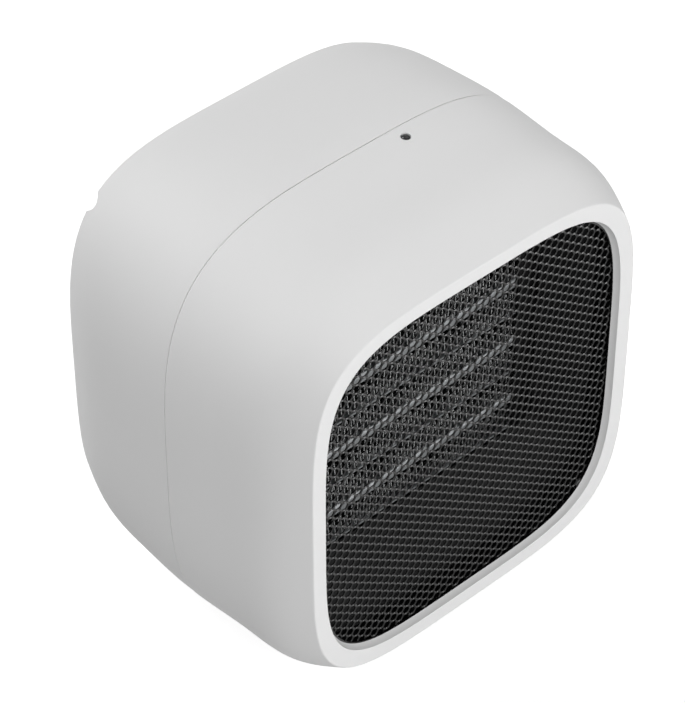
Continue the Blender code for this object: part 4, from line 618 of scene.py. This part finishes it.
def pocket_spots():
    """Where the shell screws' pockets run, just inside the rear outline's corners."""
    half_width, half_height, squareness = body_section(DEPTH)
    share = 0.5 ** (1 / squareness)
    outward = Vector((half_height, half_width)).normalized()
    x = half_width * share - outward.x * POCKET_INSET
    z = half_height * share - outward.y * POCKET_INSET
    return [(across * x, up * z) for across in (-1, 1) for up in (-1, 1)]


def edge_rings(y_edge, radius, direction, steps=5, inset=0.0):
    """Rings round an edge of the body, from the side onto the face, that keep its shading off both."""
    spots = [(radius + EDGE_MARGIN, 0)]
    spots += [(radius * (1 - math.sin(a)), radius * (1 - math.cos(a))) for a in quarter(steps)]
    spots += [(0, radius + EDGE_MARGIN)]
    return [body_ring(y_edge - direction * before, inset + drop) for before, drop in spots]


# ---- pieces

def foot_pads(depth):
    """The moulded pad over each foot of a pair, and the foot's seat to cut into it."""
    spots = [(side * FOOT_X, depth) for side in (-1, 1)]
    bottom = -MIDDLE_HEIGHT
    radius = FOOT_RADIUS + GAP + PAD_WALL
    pad_bottom = bottom + PAD_LIFT
    top = -body_section(depth)[1] / 2 - HALF_HEIGHT / 4
    profile = [(0, top), (radius, top), (radius, pad_bottom + PAD_EDGE), (radius - PAD_EDGE, pad_bottom),
               (0, pad_bottom)]
    pads = joined([turned(profile, 48, "Z", (x, y, 0)) for x, y in spots])
    seats = rods(FOOT_RADIUS + FOOT_CLEARANCE, spots, bottom - OVERRUN, bottom + FOOT_HEIGHT, 48, "Z")
    return pads, seats


def front_shell():
    """The front half, with its rim, its opening and the indicator's hole."""
    rings = [body_ring(0, RIM_BAND - 2 * EDGE_MARGIN)] + edge_rings(0, RIM_EDGE, -1)[::-1]
    round_start = SEAM - SEAM_ROUND * math.sin(SEAM_ROUND_TURN)
    rings += [body_ring(y) for y in np.linspace(RIM_EDGE + EDGE_MARGIN, round_start - EDGE_MARGIN, 26)[1:]]
    turns = [SEAM_ROUND_TURN * k / 5 for k in range(6)]
    rings += [body_ring(round_start + SEAM_ROUND * math.sin(a), SEAM_ROUND * (1 - math.cos(a))) for a in turns]

    lap_start = SEAM - LAP_DEPTH
    inner = [body_ring(y, WALL) for y in np.linspace(RIM_THICKNESS, lap_start, 14)]
    inner += [body_ring(y, LAP_WALL) for y in (lap_start, SEAM + OVERRUN)]
    columns = rods(COLUMN_RADIUS, pocket_spots(), RIM_THICKNESS - OVERRUN / 2, SEAM + 2 * OVERRUN)
    pilots = rods(SCREW_RADIUS, pocket_spots(), SEAM - PILOT_DEPTH, SEAM + OVERRUN)
    cavity = combine(loft(inner), ("DIFFERENCE", columns), ("UNION", pilots))

    levels = [(-OVERRUN, OPENING_EDGE)]
    levels += [(OPENING_EDGE * (1 - math.cos(a)), OPENING_EDGE * (1 - math.sin(a))) for a in quarter(4)]
    levels += [(OPENING_LIP, 0), (RIM_THICKNESS, -OPENING_TAPER), (RIM_THICKNESS + OVERRUN, -OPENING_TAPER)]
    opening = loft([ring(y, body_section(0, RIM_BAND - flare)) for y, flare in levels])
    opening.transform(Matrix.Translation((OPENING_X, 0, OPENING_Z)))

    pads, seats = foot_pads(FOOT_DEPTHS[0])
    lens_hole = rods(LENS_RADIUS + LENS_CLEARANCE, [(LENS_X, LENS_Y)], HALF_HEIGHT / 2, HALF_HEIGHT + OVERRUN,
                     axis="Z")
    mesh = combine(loft(rings), ("UNION", pads), *cuts(cavity, seats, opening, lens_hole))
    show("front_shell_moulding", mesh, WHITE_ABS, "heater", "shell_white", "front_shell")


def rear_shell():
    """The rear half, with its tongue, screw pockets, recessed panel and openings."""
    start = SEAM + SEAM_GAP
    rings = edge_rings(start, SEAM_EDGE, -1, 2, SEAM_STEP)[::-1]
    for y in np.linspace(start + SEAM_EDGE + EDGE_MARGIN, DEPTH - REAR_EDGE - EDGE_MARGIN, 40)[1:-1]:
        rings.append(body_ring(y, SEAM_STEP * max(0, 1 - (y - start) / SEAM_STEP_REACH) ** 2))
    rings += edge_rings(DEPTH, REAR_EDGE, 1)
    tongue_front = SEAM - LAP_DEPTH + GAP
    tongue = loft([body_ring(y, LAP_WALL + GAP) for y in (tongue_front, start + LAP_DEPTH)])

    inner = [body_ring(y, WALL) for y in np.linspace(tongue_front - OVERRUN, PANEL_INNER, 14)]
    bosses = rods(BOSS_RADIUS, pocket_spots(), start, DEPTH, 40)
    cavity = combine(loft(inner), ("DIFFERENCE", bosses))
    levels = ((PANEL_OUTER, 0), (DEPTH - RECESS_EDGE, 0), (DEPTH, RECESS_EDGE), (DEPTH + OVERRUN, RECESS_EDGE))
    recess = loft([ring(y, body_section(DEPTH, REAR_BAND - flare)) for y, flare in levels])

    pads, seats = foot_pads(FOOT_DEPTHS[1])
    pockets = rods(POCKET_RADIUS, pocket_spots(), POCKET_START, DEPTH + OVERRUN, 48)
    holes = rods(SCREW_RADIUS, pocket_spots(), start - OVERRUN, POCKET_START + OVERRUN)
    hole_start, hole_end = PANEL_INNER - OVERRUN, PANEL_OUTER + OVERRUN
    intake = rods(INTAKE_RADIUS, [(0, 0)], hole_start, hole_end, 96)
    x, _, z = centre_of("switch_housing")
    half_length, half_height = SWITCH_CUTOUT
    cutout = block((x - half_length, hole_start, z - half_height), (x + half_length, hole_end, z + half_height))
    bushing_hole = rods(BUSHING_HOLE, [(centre_of("cable_bushing").x, z)], hole_start, hole_end, 48)
    mesh = combine(loft(rings), ("UNION", tongue), ("UNION", pads),
                   *cuts(cavity, recess, seats, pockets, holes, intake, cutout, bushing_hole))
    show("rear_shell_moulding", mesh, WHITE_ABS, "heater", "shell_white", "rear_shell")


def mesh_cell():
    """One six-sided cell of the outlet mesh, whose outer edge meets its neighbours half way across the web."""
    outer = MESH_PITCH / 2
    hole = outer - MESH_WEB / 2
    corner = 1 / math.cos(math.pi / 6)
    bm = bmesh.new()
    rows = []
    for reach, at_corner, depth in ((outer, corner, 0), (hole, MESH_CORNER, MESH_SLOPE),
                                    (hole, MESH_CORNER, MESH_THICKNESS), (outer, corner, MESH_THICKNESS)):
        row = []
        for k in range(12):
            angle = math.pi / 6 * k
            radius = reach * (at_corner if k % 2 else 1)
            row.append(bm.verts.new((radius * math.cos(angle), radius * math.sin(angle), -depth)))
        rows.append(row)
    for row, following in zip(rows, rows[1:]):
        bridge(bm, row, following)
    mesh = bpy.data.meshes.new("cell")
    bm.to_mesh(mesh)
    bm.free()
    return mesh


def honeycomb_tree():
    """Sets the starting cell on every point of a six-sided lattice that lies inside a rounded square."""
    tree, start = new_tree("honeycomb", Pitch="Float", Turn="Float", Width="Float", Height="Float",
                           Power="Float", Rows="Int", Weld="Float")
    row_step = add(tree, MATH, {0: start["Pitch"], 1: math.sqrt(3) / 2}, operation="MULTIPLY")
    gaps = add(tree, MATH, {0: start["Rows"], 1: 1.0}, operation="SUBTRACT")
    width = add(tree, MATH, {0: start["Pitch"], 1: gaps}, operation="MULTIPLY")
    height = add(tree, MATH, {0: row_step, 1: gaps}, operation="MULTIPLY")
    grid = add(tree, "GeometryNodeMeshGrid",
               {"Size X": width, "Size Y": height, "Vertices X": start["Rows"], "Vertices Y": start["Rows"]})
    place = add(tree, "ShaderNodeSeparateXYZ", {0: add(tree, "GeometryNodeInputPosition")}).outputs
    rows_up = add(tree, MATH, {0: place["Y"], 1: row_step}, operation="DIVIDE")
    row = add(tree, MATH, {0: rows_up}, operation="ROUND")
    odd = add(tree, MATH, {0: row, 1: 2.0}, operation="FLOORED_MODULO")
    half_pitch = add(tree, MATH, {0: start["Pitch"], 1: 0.5}, operation="MULTIPLY")
    shift = add(tree, MATH, {0: odd, 1: half_pitch}, operation="MULTIPLY")
    offset = add(tree, "ShaderNodeCombineXYZ", {"X": shift})
    staggered = add(tree, "GeometryNodeSetPosition", {"Geometry": grid, "Offset": offset})
    spin = add(tree, "ShaderNodeCombineXYZ", {"Z": start["Turn"]})
    lattice = add(tree, "GeometryNodeTransform", {"Geometry": staggered, "Rotation": spin})
    place = add(tree, "ShaderNodeSeparateXYZ", {0: add(tree, "GeometryNodeInputPosition")}).outputs
    powers = []
    for axis, size in (("X", "Width"), ("Y", "Height")):
        distance = add(tree, MATH, {0: place[axis]}, operation="ABSOLUTE")
        share = add(tree, MATH, {0: distance, 1: start[size]}, operation="DIVIDE")
        powers.append(add(tree, MATH, {0: share, 1: start["Power"]}, operation="POWER"))
    total = add(tree, MATH, {0: powers[0], 1: powers[1]}, operation="ADD")
    outside = add(tree, MATH, {0: total, 1: 1.0}, operation="GREATER_THAN")
    kept = add(tree, "GeometryNodeDeleteGeometry", {"Geometry": lattice, "Selection": outside})
    cells = add(tree, "GeometryNodeInstanceOnPoints",
                {"Points": kept, "Instance": start["Geometry"], "Rotation": spin})
    real = add(tree, "GeometryNodeRealizeInstances", {"Geometry": cells})
    welded = add(tree, "GeometryNodeMergeByDistance", {"Geometry": real, "Distance": start["Weld"]})
    return close_tree(tree, start, welded)


def outlet_mesh():
    """The fine black mesh behind the rim, and its flat border."""
    half_width, half_height, squareness = body_section(0, RIM_BAND)
    rows = 2 * int(HALF_HEIGHT * 1.5 / MESH_PITCH) + 1
    mesh = grown(honeycomb_tree(), mesh_cell(), BLACK_MESH, Pitch=MESH_PITCH, Turn=MESH_TURN,
                 Width=half_width + MESH_REACH, Height=half_height + MESH_REACH, Power=squareness, Rows=rows,
                 Weld=MESH_WELD)
    mesh = walled(mesh, MESH_THICKNESS)
    mesh.transform(Matrix.Translation((0, MESH_FRONT, 0)) @ Matrix.Rotation(math.pi / 2, 4, "X"))
    show("outlet_mesh", mesh, BLACK_MESH, "heater", "grille_black", "outlet_grille", angle=50)

    front = RIM_THICKNESS + BORDER_SEAT
    back = front + BORDER_THICKNESS
    corners = ((front, BORDER_OUTER), (front, BORDER_INNER), (back, BORDER_INNER), (back, BORDER_OUTER))
    border = loft([ring(y, body_section(0, inset)) for y, inset in corners], closed=True)
    show("outlet_mesh_border", border, BLACK_MESH, "heater", "grille_black")


def folded_tree():
    """A strip folded up and down in flattened waves along x, of a given thickness and depth."""
    tree, start = new_tree("folded_strip", Length="Float", Height="Float", Pitch="Float", Sheet="Float",
                           Depth="Float", Points="Int")
    half = add(tree, MATH, {0: start["Length"], 1: 2.0}, operation="DIVIDE")
    minus_half = add(tree, MATH, {0: half, 1: -1.0}, operation="MULTIPLY")
    ends = [add(tree, "ShaderNodeCombineXYZ", {"X": x}) for x in (minus_half, half)]
    line = add(tree, "GeometryNodeCurvePrimitiveLine", {"Start": ends[0], "End": ends[1]})
    fine = add(tree, "GeometryNodeResampleCurve", {"Curve": line, "Count": start["Points"]})
    place = add(tree, "ShaderNodeSeparateXYZ", {0: add(tree, "GeometryNodeInputPosition")}).outputs
    folds = add(tree, MATH, {0: place["X"], 1: start["Pitch"]}, operation="DIVIDE")
    turn = add(tree, MATH, {0: folds, 1: 2 * math.pi}, operation="MULTIPLY")
    sine = add(tree, MATH, {0: turn}, operation="SINE")
    wave = add(tree, MATH, {0: sine, 1: FIN_FLATNESS}, operation="MULTIPLY")
    flat = add(tree, "ShaderNodeClamp", {"Value": wave, "Min": -1.0, "Max": 1.0})
    half_height = add(tree, MATH, {0: start["Height"], 1: 2.0}, operation="DIVIDE")
    rise = add(tree, MATH, {0: flat, 1: half_height}, operation="MULTIPLY")
    lift = add(tree, "ShaderNodeCombineXYZ", {"Z": rise})
    waved = add(tree, "GeometryNodeSetPosition", {"Geometry": fine, "Offset": lift})
    section = add(tree, "GeometryNodeCurvePrimitiveQuadrilateral",
                  {"Width": start["Depth"], "Height": start["Sheet"]})
    swept = add(tree, "GeometryNodeCurveToMesh", {"Curve": waved, "Profile Curve": section, "Fill Caps": True})
    return close_tree(tree, start, swept)


def turned_tree():
    """Copies of the starting mesh turned round the y axis."""
    tree, start = new_tree("turned_copies", Count="Int")
    points = add(tree, "GeometryNodePoints", {"Count": start["Count"]})
    share = add(tree, MATH, {0: add(tree, "GeometryNodeInputIndex"), 1: start["Count"]}, operation="DIVIDE")
    angle = add(tree, MATH, {0: share, 1: 2 * math.pi}, operation="MULTIPLY")
    spin = add(tree, "ShaderNodeCombineXYZ", {"Y": angle})
    copies = add(tree, "GeometryNodeInstanceOnPoints",
                 {"Points": points, "Instance": start["Geometry"], "Rotation": spin})
    return close_tree(tree, start, copies)


def corner_tree():
    """Copies of the starting mesh at the four corners of an upright rectangle round the y axis."""
    tree, start = new_tree("corner_copies", Width="Float", Height="Float")
    grid = add(tree, "GeometryNodeMeshGrid",
               {"Size X": start["Width"], "Size Y": start["Height"], "Vertices X": 2, "Vertices Y": 2})
    upright = add(tree, "GeometryNodeTransform", {"Geometry": grid, "Rotation": (math.pi / 2, 0, 0)})
    copies = add(tree, "GeometryNodeInstanceOnPoints", {"Points": upright, "Instance": start["Geometry"]})
    return close_tree(tree, start, copies)


def heating_fins():
    """Six rows of finely folded strip between the bars and the plates."""
    tree = folded_tree()
    for i in range(1, 7):
        node = f"heater_fins_{i}"
        low, high = box_of(node)
        length = high.x - low.x
        folds = round(length / FIN_PITCH)
        strip = grown(tree, bpy.data.meshes.new("strip"), FIN_ALUMINIUM, Length=length - FIN_SHEET,
                      Height=high.z - low.z - FIN_SHEET, Pitch=length / folds, Sheet=FIN_SHEET,
                      Depth=high.y - low.y, Points=folds * FIN_POINTS + 1)
        strip.transform(Matrix.Translation(centre_of(node)))
        show(f"heating_fin_row_{i}", strip, FIN_ALUMINIUM, "heater", "fin_aluminium", node, angle=50)


def frame_lips():
    """The end brackets' thin front lips, which hold the fins' ends and hide the bars' tails."""
    back = box_of("heater_fins_1")[0].y - LIP_CLEARANCE
    low, high = box_of("heater_frame_right")
    for name, side in (("left", -1), ("right", 1)):
        start, end = sorted((side * FIN_SHOWN, side * high.x))
        lip = block((start, back - LIP_THICKNESS, low.z), (end, back, high.z), LIP_EDGE)
        show(f"heater_frame_{name}_lip", lip, BLACK_PBT, "heater", "duct_black")


def outlet_duct():
    """The funnel down to the collar round the heating element, with its flanges."""
    front, back = (corner.y for corner in box_of("outlet_duct"))
    flange = body_section(RIM_THICKNESS, DUCT_FLANGE_INSET)
    mouth = body_section(RIM_THICKNESS, DUCT_MOUTH_INSET)

    def level(y, section, extra=0.0):
        return ring(y, (section[0] + extra, section[1] + extra, section[2]), DUCT_STEPS, False)

    def funnel(share, wall):
        size = [between(mouth[i], DUCT_THROAT[i], share) for i in (0, 1)]
        squareness = 1 / between(1 / mouth[2], 1 / DUCT_THROAT[2], share ** 2)
        depth = between(front + DUCT_STRAIGHT, front + DUCT_THROAT_DEPTH, share)
        return level(depth + wall, (*size, squareness), wall)

    shares = [k / 12 for k in range(13)]
    collar = back - DUCT_FLANGE
    rings = [level(front, flange), level(front, mouth), *[funnel(share, 0) for share in shares],
             level(back, DUCT_THROAT), level(back, DUCT_JOINT), level(collar, DUCT_JOINT),
             level(collar, DUCT_THROAT, DUCT_WALL), *[funnel(share, DUCT_WALL) for share in reversed(shares)],
             level(front + DUCT_WALL, mouth, DUCT_WALL), level(front + DUCT_WALL, flange)]
    slits = []
    for bar in ("lower", "middle", "upper"):
        start, z = centre_of("ptc_bar_middle").y - TAB_SLIT_HALF_DEPTH, centre_of(f"ptc_bar_{bar}").z
        slits.append(block((TAB_SLIT_SPAN[0], start, z - TAB_SLIT_HALF_HEIGHT),
                           (TAB_SLIT_SPAN[1], back + OVERRUN, z + TAB_SLIT_HALF_HEIGHT)))
    scallops = rods(COLUMN_RADIUS + GAP, pocket_spots(), 0, SEAM)
    mesh = combine(loft(rings, closed=True), *cuts(scallops, joined(slits)))
    show("outlet_duct_moulding", mesh, BLACK_PBT, "heater", "duct_black", "outlet_duct")


def fan_blade():
    """One twisted, cambered blade with rounded edges, from inside the hub to the tip."""
    low, high = box_of("fan_impeller")
    middle = (low.y + high.y) / 2
    root, tip, half_thickness, camber = 0.0125, 0.0395, 0.00055, 0.09
    sections, points_round = 14, 28
    rings = []
    for i in range(sections + 1):
        share = i / sections
        radius = between(root, tip, share)
        chord = between(0.0145, 0.0235, share)
        pitch = math.radians(between(47, 24, share))
        points = []
        for k in range(points_round):
            around = 2 * math.pi * k / points_round
            place = -math.cos(around) / 2
            side = math.copysign(abs(math.sin(around)) ** 0.5, math.sin(around)) * half_thickness
            along = place * chord
            bulge = camber * chord * (1 - 4 * place * place) + side
            angle = (along * math.cos(pitch) - bulge * math.sin(pitch)) / radius
            depth = along * math.sin(pitch) + bulge * math.cos(pitch)
            points.append((radius * math.cos(angle), middle + depth, radius * math.sin(angle)))
        rings.append(points)
    return loft(rings)


def fan():
    """The fan's cupped hub with its blades."""
    low, high = box_of("fan_impeller")
    front, back = low.y, high.y
    bore, boss, hub, wall, edge = 0.0011, 0.0034, 0.0130, 0.0014, 0.0016
    boss_end = box_of("motor_can")[0].y - 0.0016
    arc = [(hub - edge + edge * math.sin(a), front + edge - edge * math.cos(a)) for a in quarter(5)]
    profile = [(bore, boss_end), (bore, front), *arc, (hub, back), (hub - wall, back),
               (hub - wall, front + wall + edge / 2), (hub - wall - edge / 2, front + wall),
               (boss, front + wall), (boss, boss_end)]
    blades = grown(turned_tree(), fan_blade(), FAN_BLACK, Count=7)
    mesh = without_spurs(combine(turned(profile, 72), ("UNION", blades)))
    show("fan_moulding", mesh, FAN_BLACK, "fan", "fan_black", "fan_impeller", angle=40)


def slot_cutter(start, end, top, bottom):
    """A radial slot's cutter with round ends, flared at the outside to round off the slot's edge."""
    half = SLOT_WIDTH / 2
    flare = SLOT_FLARE
    rings = []
    for y, extra in ((bottom, 0), (top - flare, 0), (top - flare * 0.3, flare * 0.3), (top, flare),
                     (top + OVERRUN, flare)):
        points = []
        for centre, first in ((start + half, 90), (end - half, -90)):
            for k in range(9):
                a = math.radians(first + 180 * k / 8)
                points.append((centre + (half + extra) * math.cos(a), y, (half + extra) * math.sin(a)))
        rings.append(points)
    return loft(rings)


def intake_grille():
    """The round grille in the back, with two rings of radial slots."""
    low, high = box_of("intake_grille")
    front, back, radius, edge = PANEL_OUTER + GAP, high.y, high.x, INTAKE_EDGE
    spigot = INTAKE_RADIUS - GAP
    arc = [(radius - edge + edge * math.cos(a), back - edge + edge * math.sin(a)) for a in quarter(8)]
    profile = [(0, front), (spigot - SPIGOT_WALL, front), (spigot - SPIGOT_WALL, low.y), (spigot, low.y),
               (spigot, front), (radius, front), *arc, (0, back)]
    tree = turned_tree()
    cutters = []
    for start, end, count in SLOT_RINGS:
        cutter = slot_cutter(start, end, back, front - OVERRUN)
        cutter.transform(Matrix.Rotation(math.pi / count, 4, "Y"))
        cutters.append(grown(tree, cutter, WHITE_ABS, Count=count))
    mesh = combine(turned(profile, 144), *cuts(*cutters))
    show("intake_grille_moulding", mesh, WHITE_ABS, "heater", "shell_white", "intake_grille", angle=20)


def screw(head_radius, head, radius, length):
    """A pan-head screw along y with a cross recess, its head's underside at zero, pointing to -y."""
    dome = [(head_radius * math.sin(a), head * (0.45 + 0.55 * math.cos(a))) for a in quarter(6)]
    thread = []
    turns = max(4, int(length / 0.0007))
    for k in range(turns):
        y = -length * k / turns
        thread += [(radius, y - length * 0.15 / turns), (radius * 0.80, y - length * 0.60 / turns)]
    profile = [*dome, (head_radius, 0), *thread, (radius * 0.5, -length), (0, -length)]
    arm, width, depth = head_radius * 0.62, head_radius * 0.16, head * 0.60
    cross = [block((-x, head - depth, -z), (x, head + OVERRUN, z)) for x, z in ((arm, width), (width, arm))]
    return combine(turned(profile, 28), *cuts(*cross))


def seated_screw(node, sizes, facing, x=0.0, z=0.0):
    """A screw as long as a CAD one, at its depth, whose head faces the back (1) or the front (-1)."""
    low, high = box_of(node)
    mesh = screw(*sizes, high.y - low.y - sizes[1])
    if facing < 0:
        mesh.transform(Matrix.Rotation(math.pi, 4, "X"))
    seat = high.y - sizes[1] if facing > 0 else low.y + sizes[1]
    mesh.transform(Matrix.Translation((x, seat, z)))
    return mesh


def fasteners():
    """The screws that hold the shells, the shroud, the duct and the motor."""
    tree = corner_tree()
    for kind, sizes, facing in (("shell_screw", SHELL_SCREW, 1), ("shroud_screw", SMALL_SCREW, -1)):
        nodes = [f"{kind}_{i}" for i in range(1, 5)]
        places = [centre_of(node) for node in nodes]
        mesh = grown(tree, seated_screw(nodes[0], sizes, facing), ZINC_STEEL,
                     Width=2 * max(abs(place.x) for place in places),
                     Height=2 * max(abs(place.z) for place in places))
        show(kind + "s", mesh, ZINC_STEEL, "heater", "steel", *nodes)
    tree = turned_tree()
    for kind in ("duct_screw", "motor_screw"):
        nodes = [kind + "_1", kind + "_2"]
        x, _, z = centre_of(nodes[0])
        mesh = grown(tree, seated_screw(nodes[0], SMALL_SCREW, -1, x, z), ZINC_STEEL, Count=2)
        show(kind + "s", mesh, ZINC_STEEL, "heater", "steel", *nodes)


def motor():
    """The motor's can with its rolled edge, nose and shaft hole, and its end cap."""
    low, high = box_of("motor_can")
    radius, edge, nose, nose_edge, hole = high.x, 0.0011, 0.0036, 0.0003, 0.0011
    front = low.y + 0.0024
    hole_end = front + 0.009
    arc = [(radius - edge + edge * math.sin(a), front + edge - edge * math.cos(a)) for a in quarter(5)]
    profile = [(0, hole_end), (hole, hole_end), (hole, low.y), (nose - nose_edge, low.y),
               (nose, low.y + nose_edge), (nose, front), *arc, (radius, high.y), (0, high.y)]
    show("motor_can_drawn", turned(profile, 72), ZINC_STEEL, "heater", "steel", "motor_can")

    low, high = box_of("motor_end_cap")
    step = (low.y + high.y) / 2
    profile = [(0, low.y), (radius, low.y), (radius, step), (radius - 0.0008, step + 0.0005),
               (nose, step + 0.0005), (nose, high.y - nose_edge), (nose - nose_edge, high.y), (0, high.y)]
    show("motor_end_cap_moulding", turned(profile, 72), BLACK_PBT, "heater", "duct_black", "motor_end_cap")


def switch():
    """The power switch's bezel and body, and the rocker on its pivot."""
    low, high = box_of("switch_housing")
    x, _, z = (low + high) / 2
    half_length, half_height = (high.x - low.x) / 2, (high.z - low.z) / 2
    lip = wall = 0.0010
    pivot = high.y - 0.0032
    pin_radius, pin_reach, pin_gap = 0.0008, half_height - lip - wall + 0.0006, 0.0001

    def span(inset, start, end):
        return ((x - half_length + inset, start, z - half_height + inset),
                (x + half_length - inset, end, z + half_height - inset))

    bezel = block(*span(0, PANEL_OUTER + GAP, high.y), 0.0004, 3)
    body = block(*span(lip, low.y, high.y - 0.0006), 0.0002)
    well = block(*span(lip + wall, pivot - 0.0050, high.y + OVERRUN), 0.0004)
    socket = rods(pin_radius + pin_gap, [(0, 0)], -pin_reach - pin_gap, pin_reach + pin_gap, 24, "Z")
    socket.transform(Matrix.Translation((x, pivot, z)))
    mesh = combine(bezel, ("UNION", body), *cuts(well, socket))
    show("switch_housing_moulding", mesh, BLACK_NYLON, "heater", "switch_black", "switch_housing")

    half, foot, crest, valley = 0.0049, 0.0041, 0.0036, 0.0024
    top = [(half * (1 - k / 8), valley + (crest - valley) * abs(1 - k / 8) ** 1.3) for k in range(17)]
    under = [(foot * math.cos(a), foot * math.sin(a)) for a in map(math.radians, range(-160, -19, 10))]
    reach = half_height - lip - wall - GAP
    rocker = loft([[(along, up, side * reach) for along, up in top + under] for side in (-1, 1)])
    pin = rods(pin_radius, [(0, 0)], -pin_reach, pin_reach, 24, "Z")
    rocker = combine(rocker, ("UNION", pin))
    rocker.transform(Matrix.Translation((x, pivot, z)) @ Matrix.Rotation(-math.radians(9), 4, "Z"))
    show("switch_rocker_moulding", rocker, BLACK_NYLON, "rocker", "switch_black", "switch_rocker", angle=25)


def bushing():
    """The cord's bushing, with rounded lips."""
    low, high = box_of("cable_bushing")
    x, _, z = (low + high) / 2
    bore, lip, edge, lip_depth = 0.0032, high.x - x, 0.0006, 0.0015
    neck, face, back = lip - 0.0010, high.y - lip_depth, high.y
    outside = [(lip - edge + edge * math.cos(a), back - edge + edge * math.sin(a)) for a in quarter(5)]
    inside = [(bore + edge - edge * math.sin(a), back - edge + edge * math.cos(a)) for a in quarter(5)]
    profile = [(bore, low.y), (neck, low.y), (neck, face), (lip, face), *outside, *inside]
    show("cable_bushing_moulding", turned(profile, 64, at=(x, 0, z)), BLACK_PVC, "heater", "bushing_black",
         "cable_bushing")


def feet():
    """The four rubber feet, with rounded edges and a shallow hollow underneath."""
    edge, band, hollow = 0.0005, 0.0012, 0.0002
    for node in ("foot_front_left", "foot_front_right", "foot_rear_left", "foot_rear_right"):
        low, high = box_of(node)
        x, y, _ = (low + high) / 2
        radius = high.x - x
        arc = [(radius - edge + edge * math.cos(a), low.z + edge - edge * math.sin(a)) for a in quarter(4)]
        profile = [(0, high.z), (radius, high.z), *arc, (radius - band, low.z),
                   (radius - band - hollow, low.z + hollow), (0, low.z + hollow)]
        show(node + "_pad", turned(profile, 56, "Z", (x, y, 0)), RUBBER, "heater", "foot_rubber", node)


def indicator_lens():
    """The lens, with its low dome and the flange that holds it under the shell."""
    low, high = box_of("indicator_lens")
    x, y, _ = (low + high) / 2
    flange, flange_top = high.x - x, low.z + 0.0008
    dome = [(LENS_RADIUS * math.sin(a), high.z - LENS_DOME * (1 - math.cos(a))) for a in quarter(7)]
    profile = [*dome, (LENS_RADIUS, flange_top), (flange, flange_top), (flange, low.z), (0, low.z)]
    show("indicator_lens_moulding", turned(profile, 48, "Z", (x, y, 0)), SMOKED_LENS, "heater", "lens_dark",
         "indicator_lens")


def finish_cad():
    """Gives every CAD node that no piece replaces its finish."""
    finishes = {
        BAR_ALUMINIUM: ["ptc_bar_lower", "ptc_bar_middle", "ptc_bar_upper",
                        *[f"heater_plate_{i}" for i in range(1, 5)]],
        BLACK_PBT: ["heater_frame_left", "heater_frame_right", "fan_shroud"],
        ZINC_STEEL: ["motor_shaft", "tilt_switch", *[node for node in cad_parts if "board_screw" in node]],
        BRASS: ["switch_terminal_left", "switch_terminal_right"],
        BOARD_GREEN: ["control_board", "led_board", "terminal_block"],
        GREY_EPOXY: ["board_capacitor", "thermal_fuse"],
        PHENOLIC: ["thermostat"],
        SMOKED_LENS: ["indicator_led"],
    }
    for finish, nodes in finishes.items():
        for node in nodes:
            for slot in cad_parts[node].material_slots:
                slot.material = finish


set_camera()
set_stage()
front_shell()
rear_shell()
outlet_mesh()
outlet_duct()
heating_fins()
frame_lips()
fan()
motor()
intake_grille()
switch()
fasteners()
bushing()
feet()
indicator_lens()
finish_cad()
bpy.context.scene.view_settings.view_transform = "Standard"
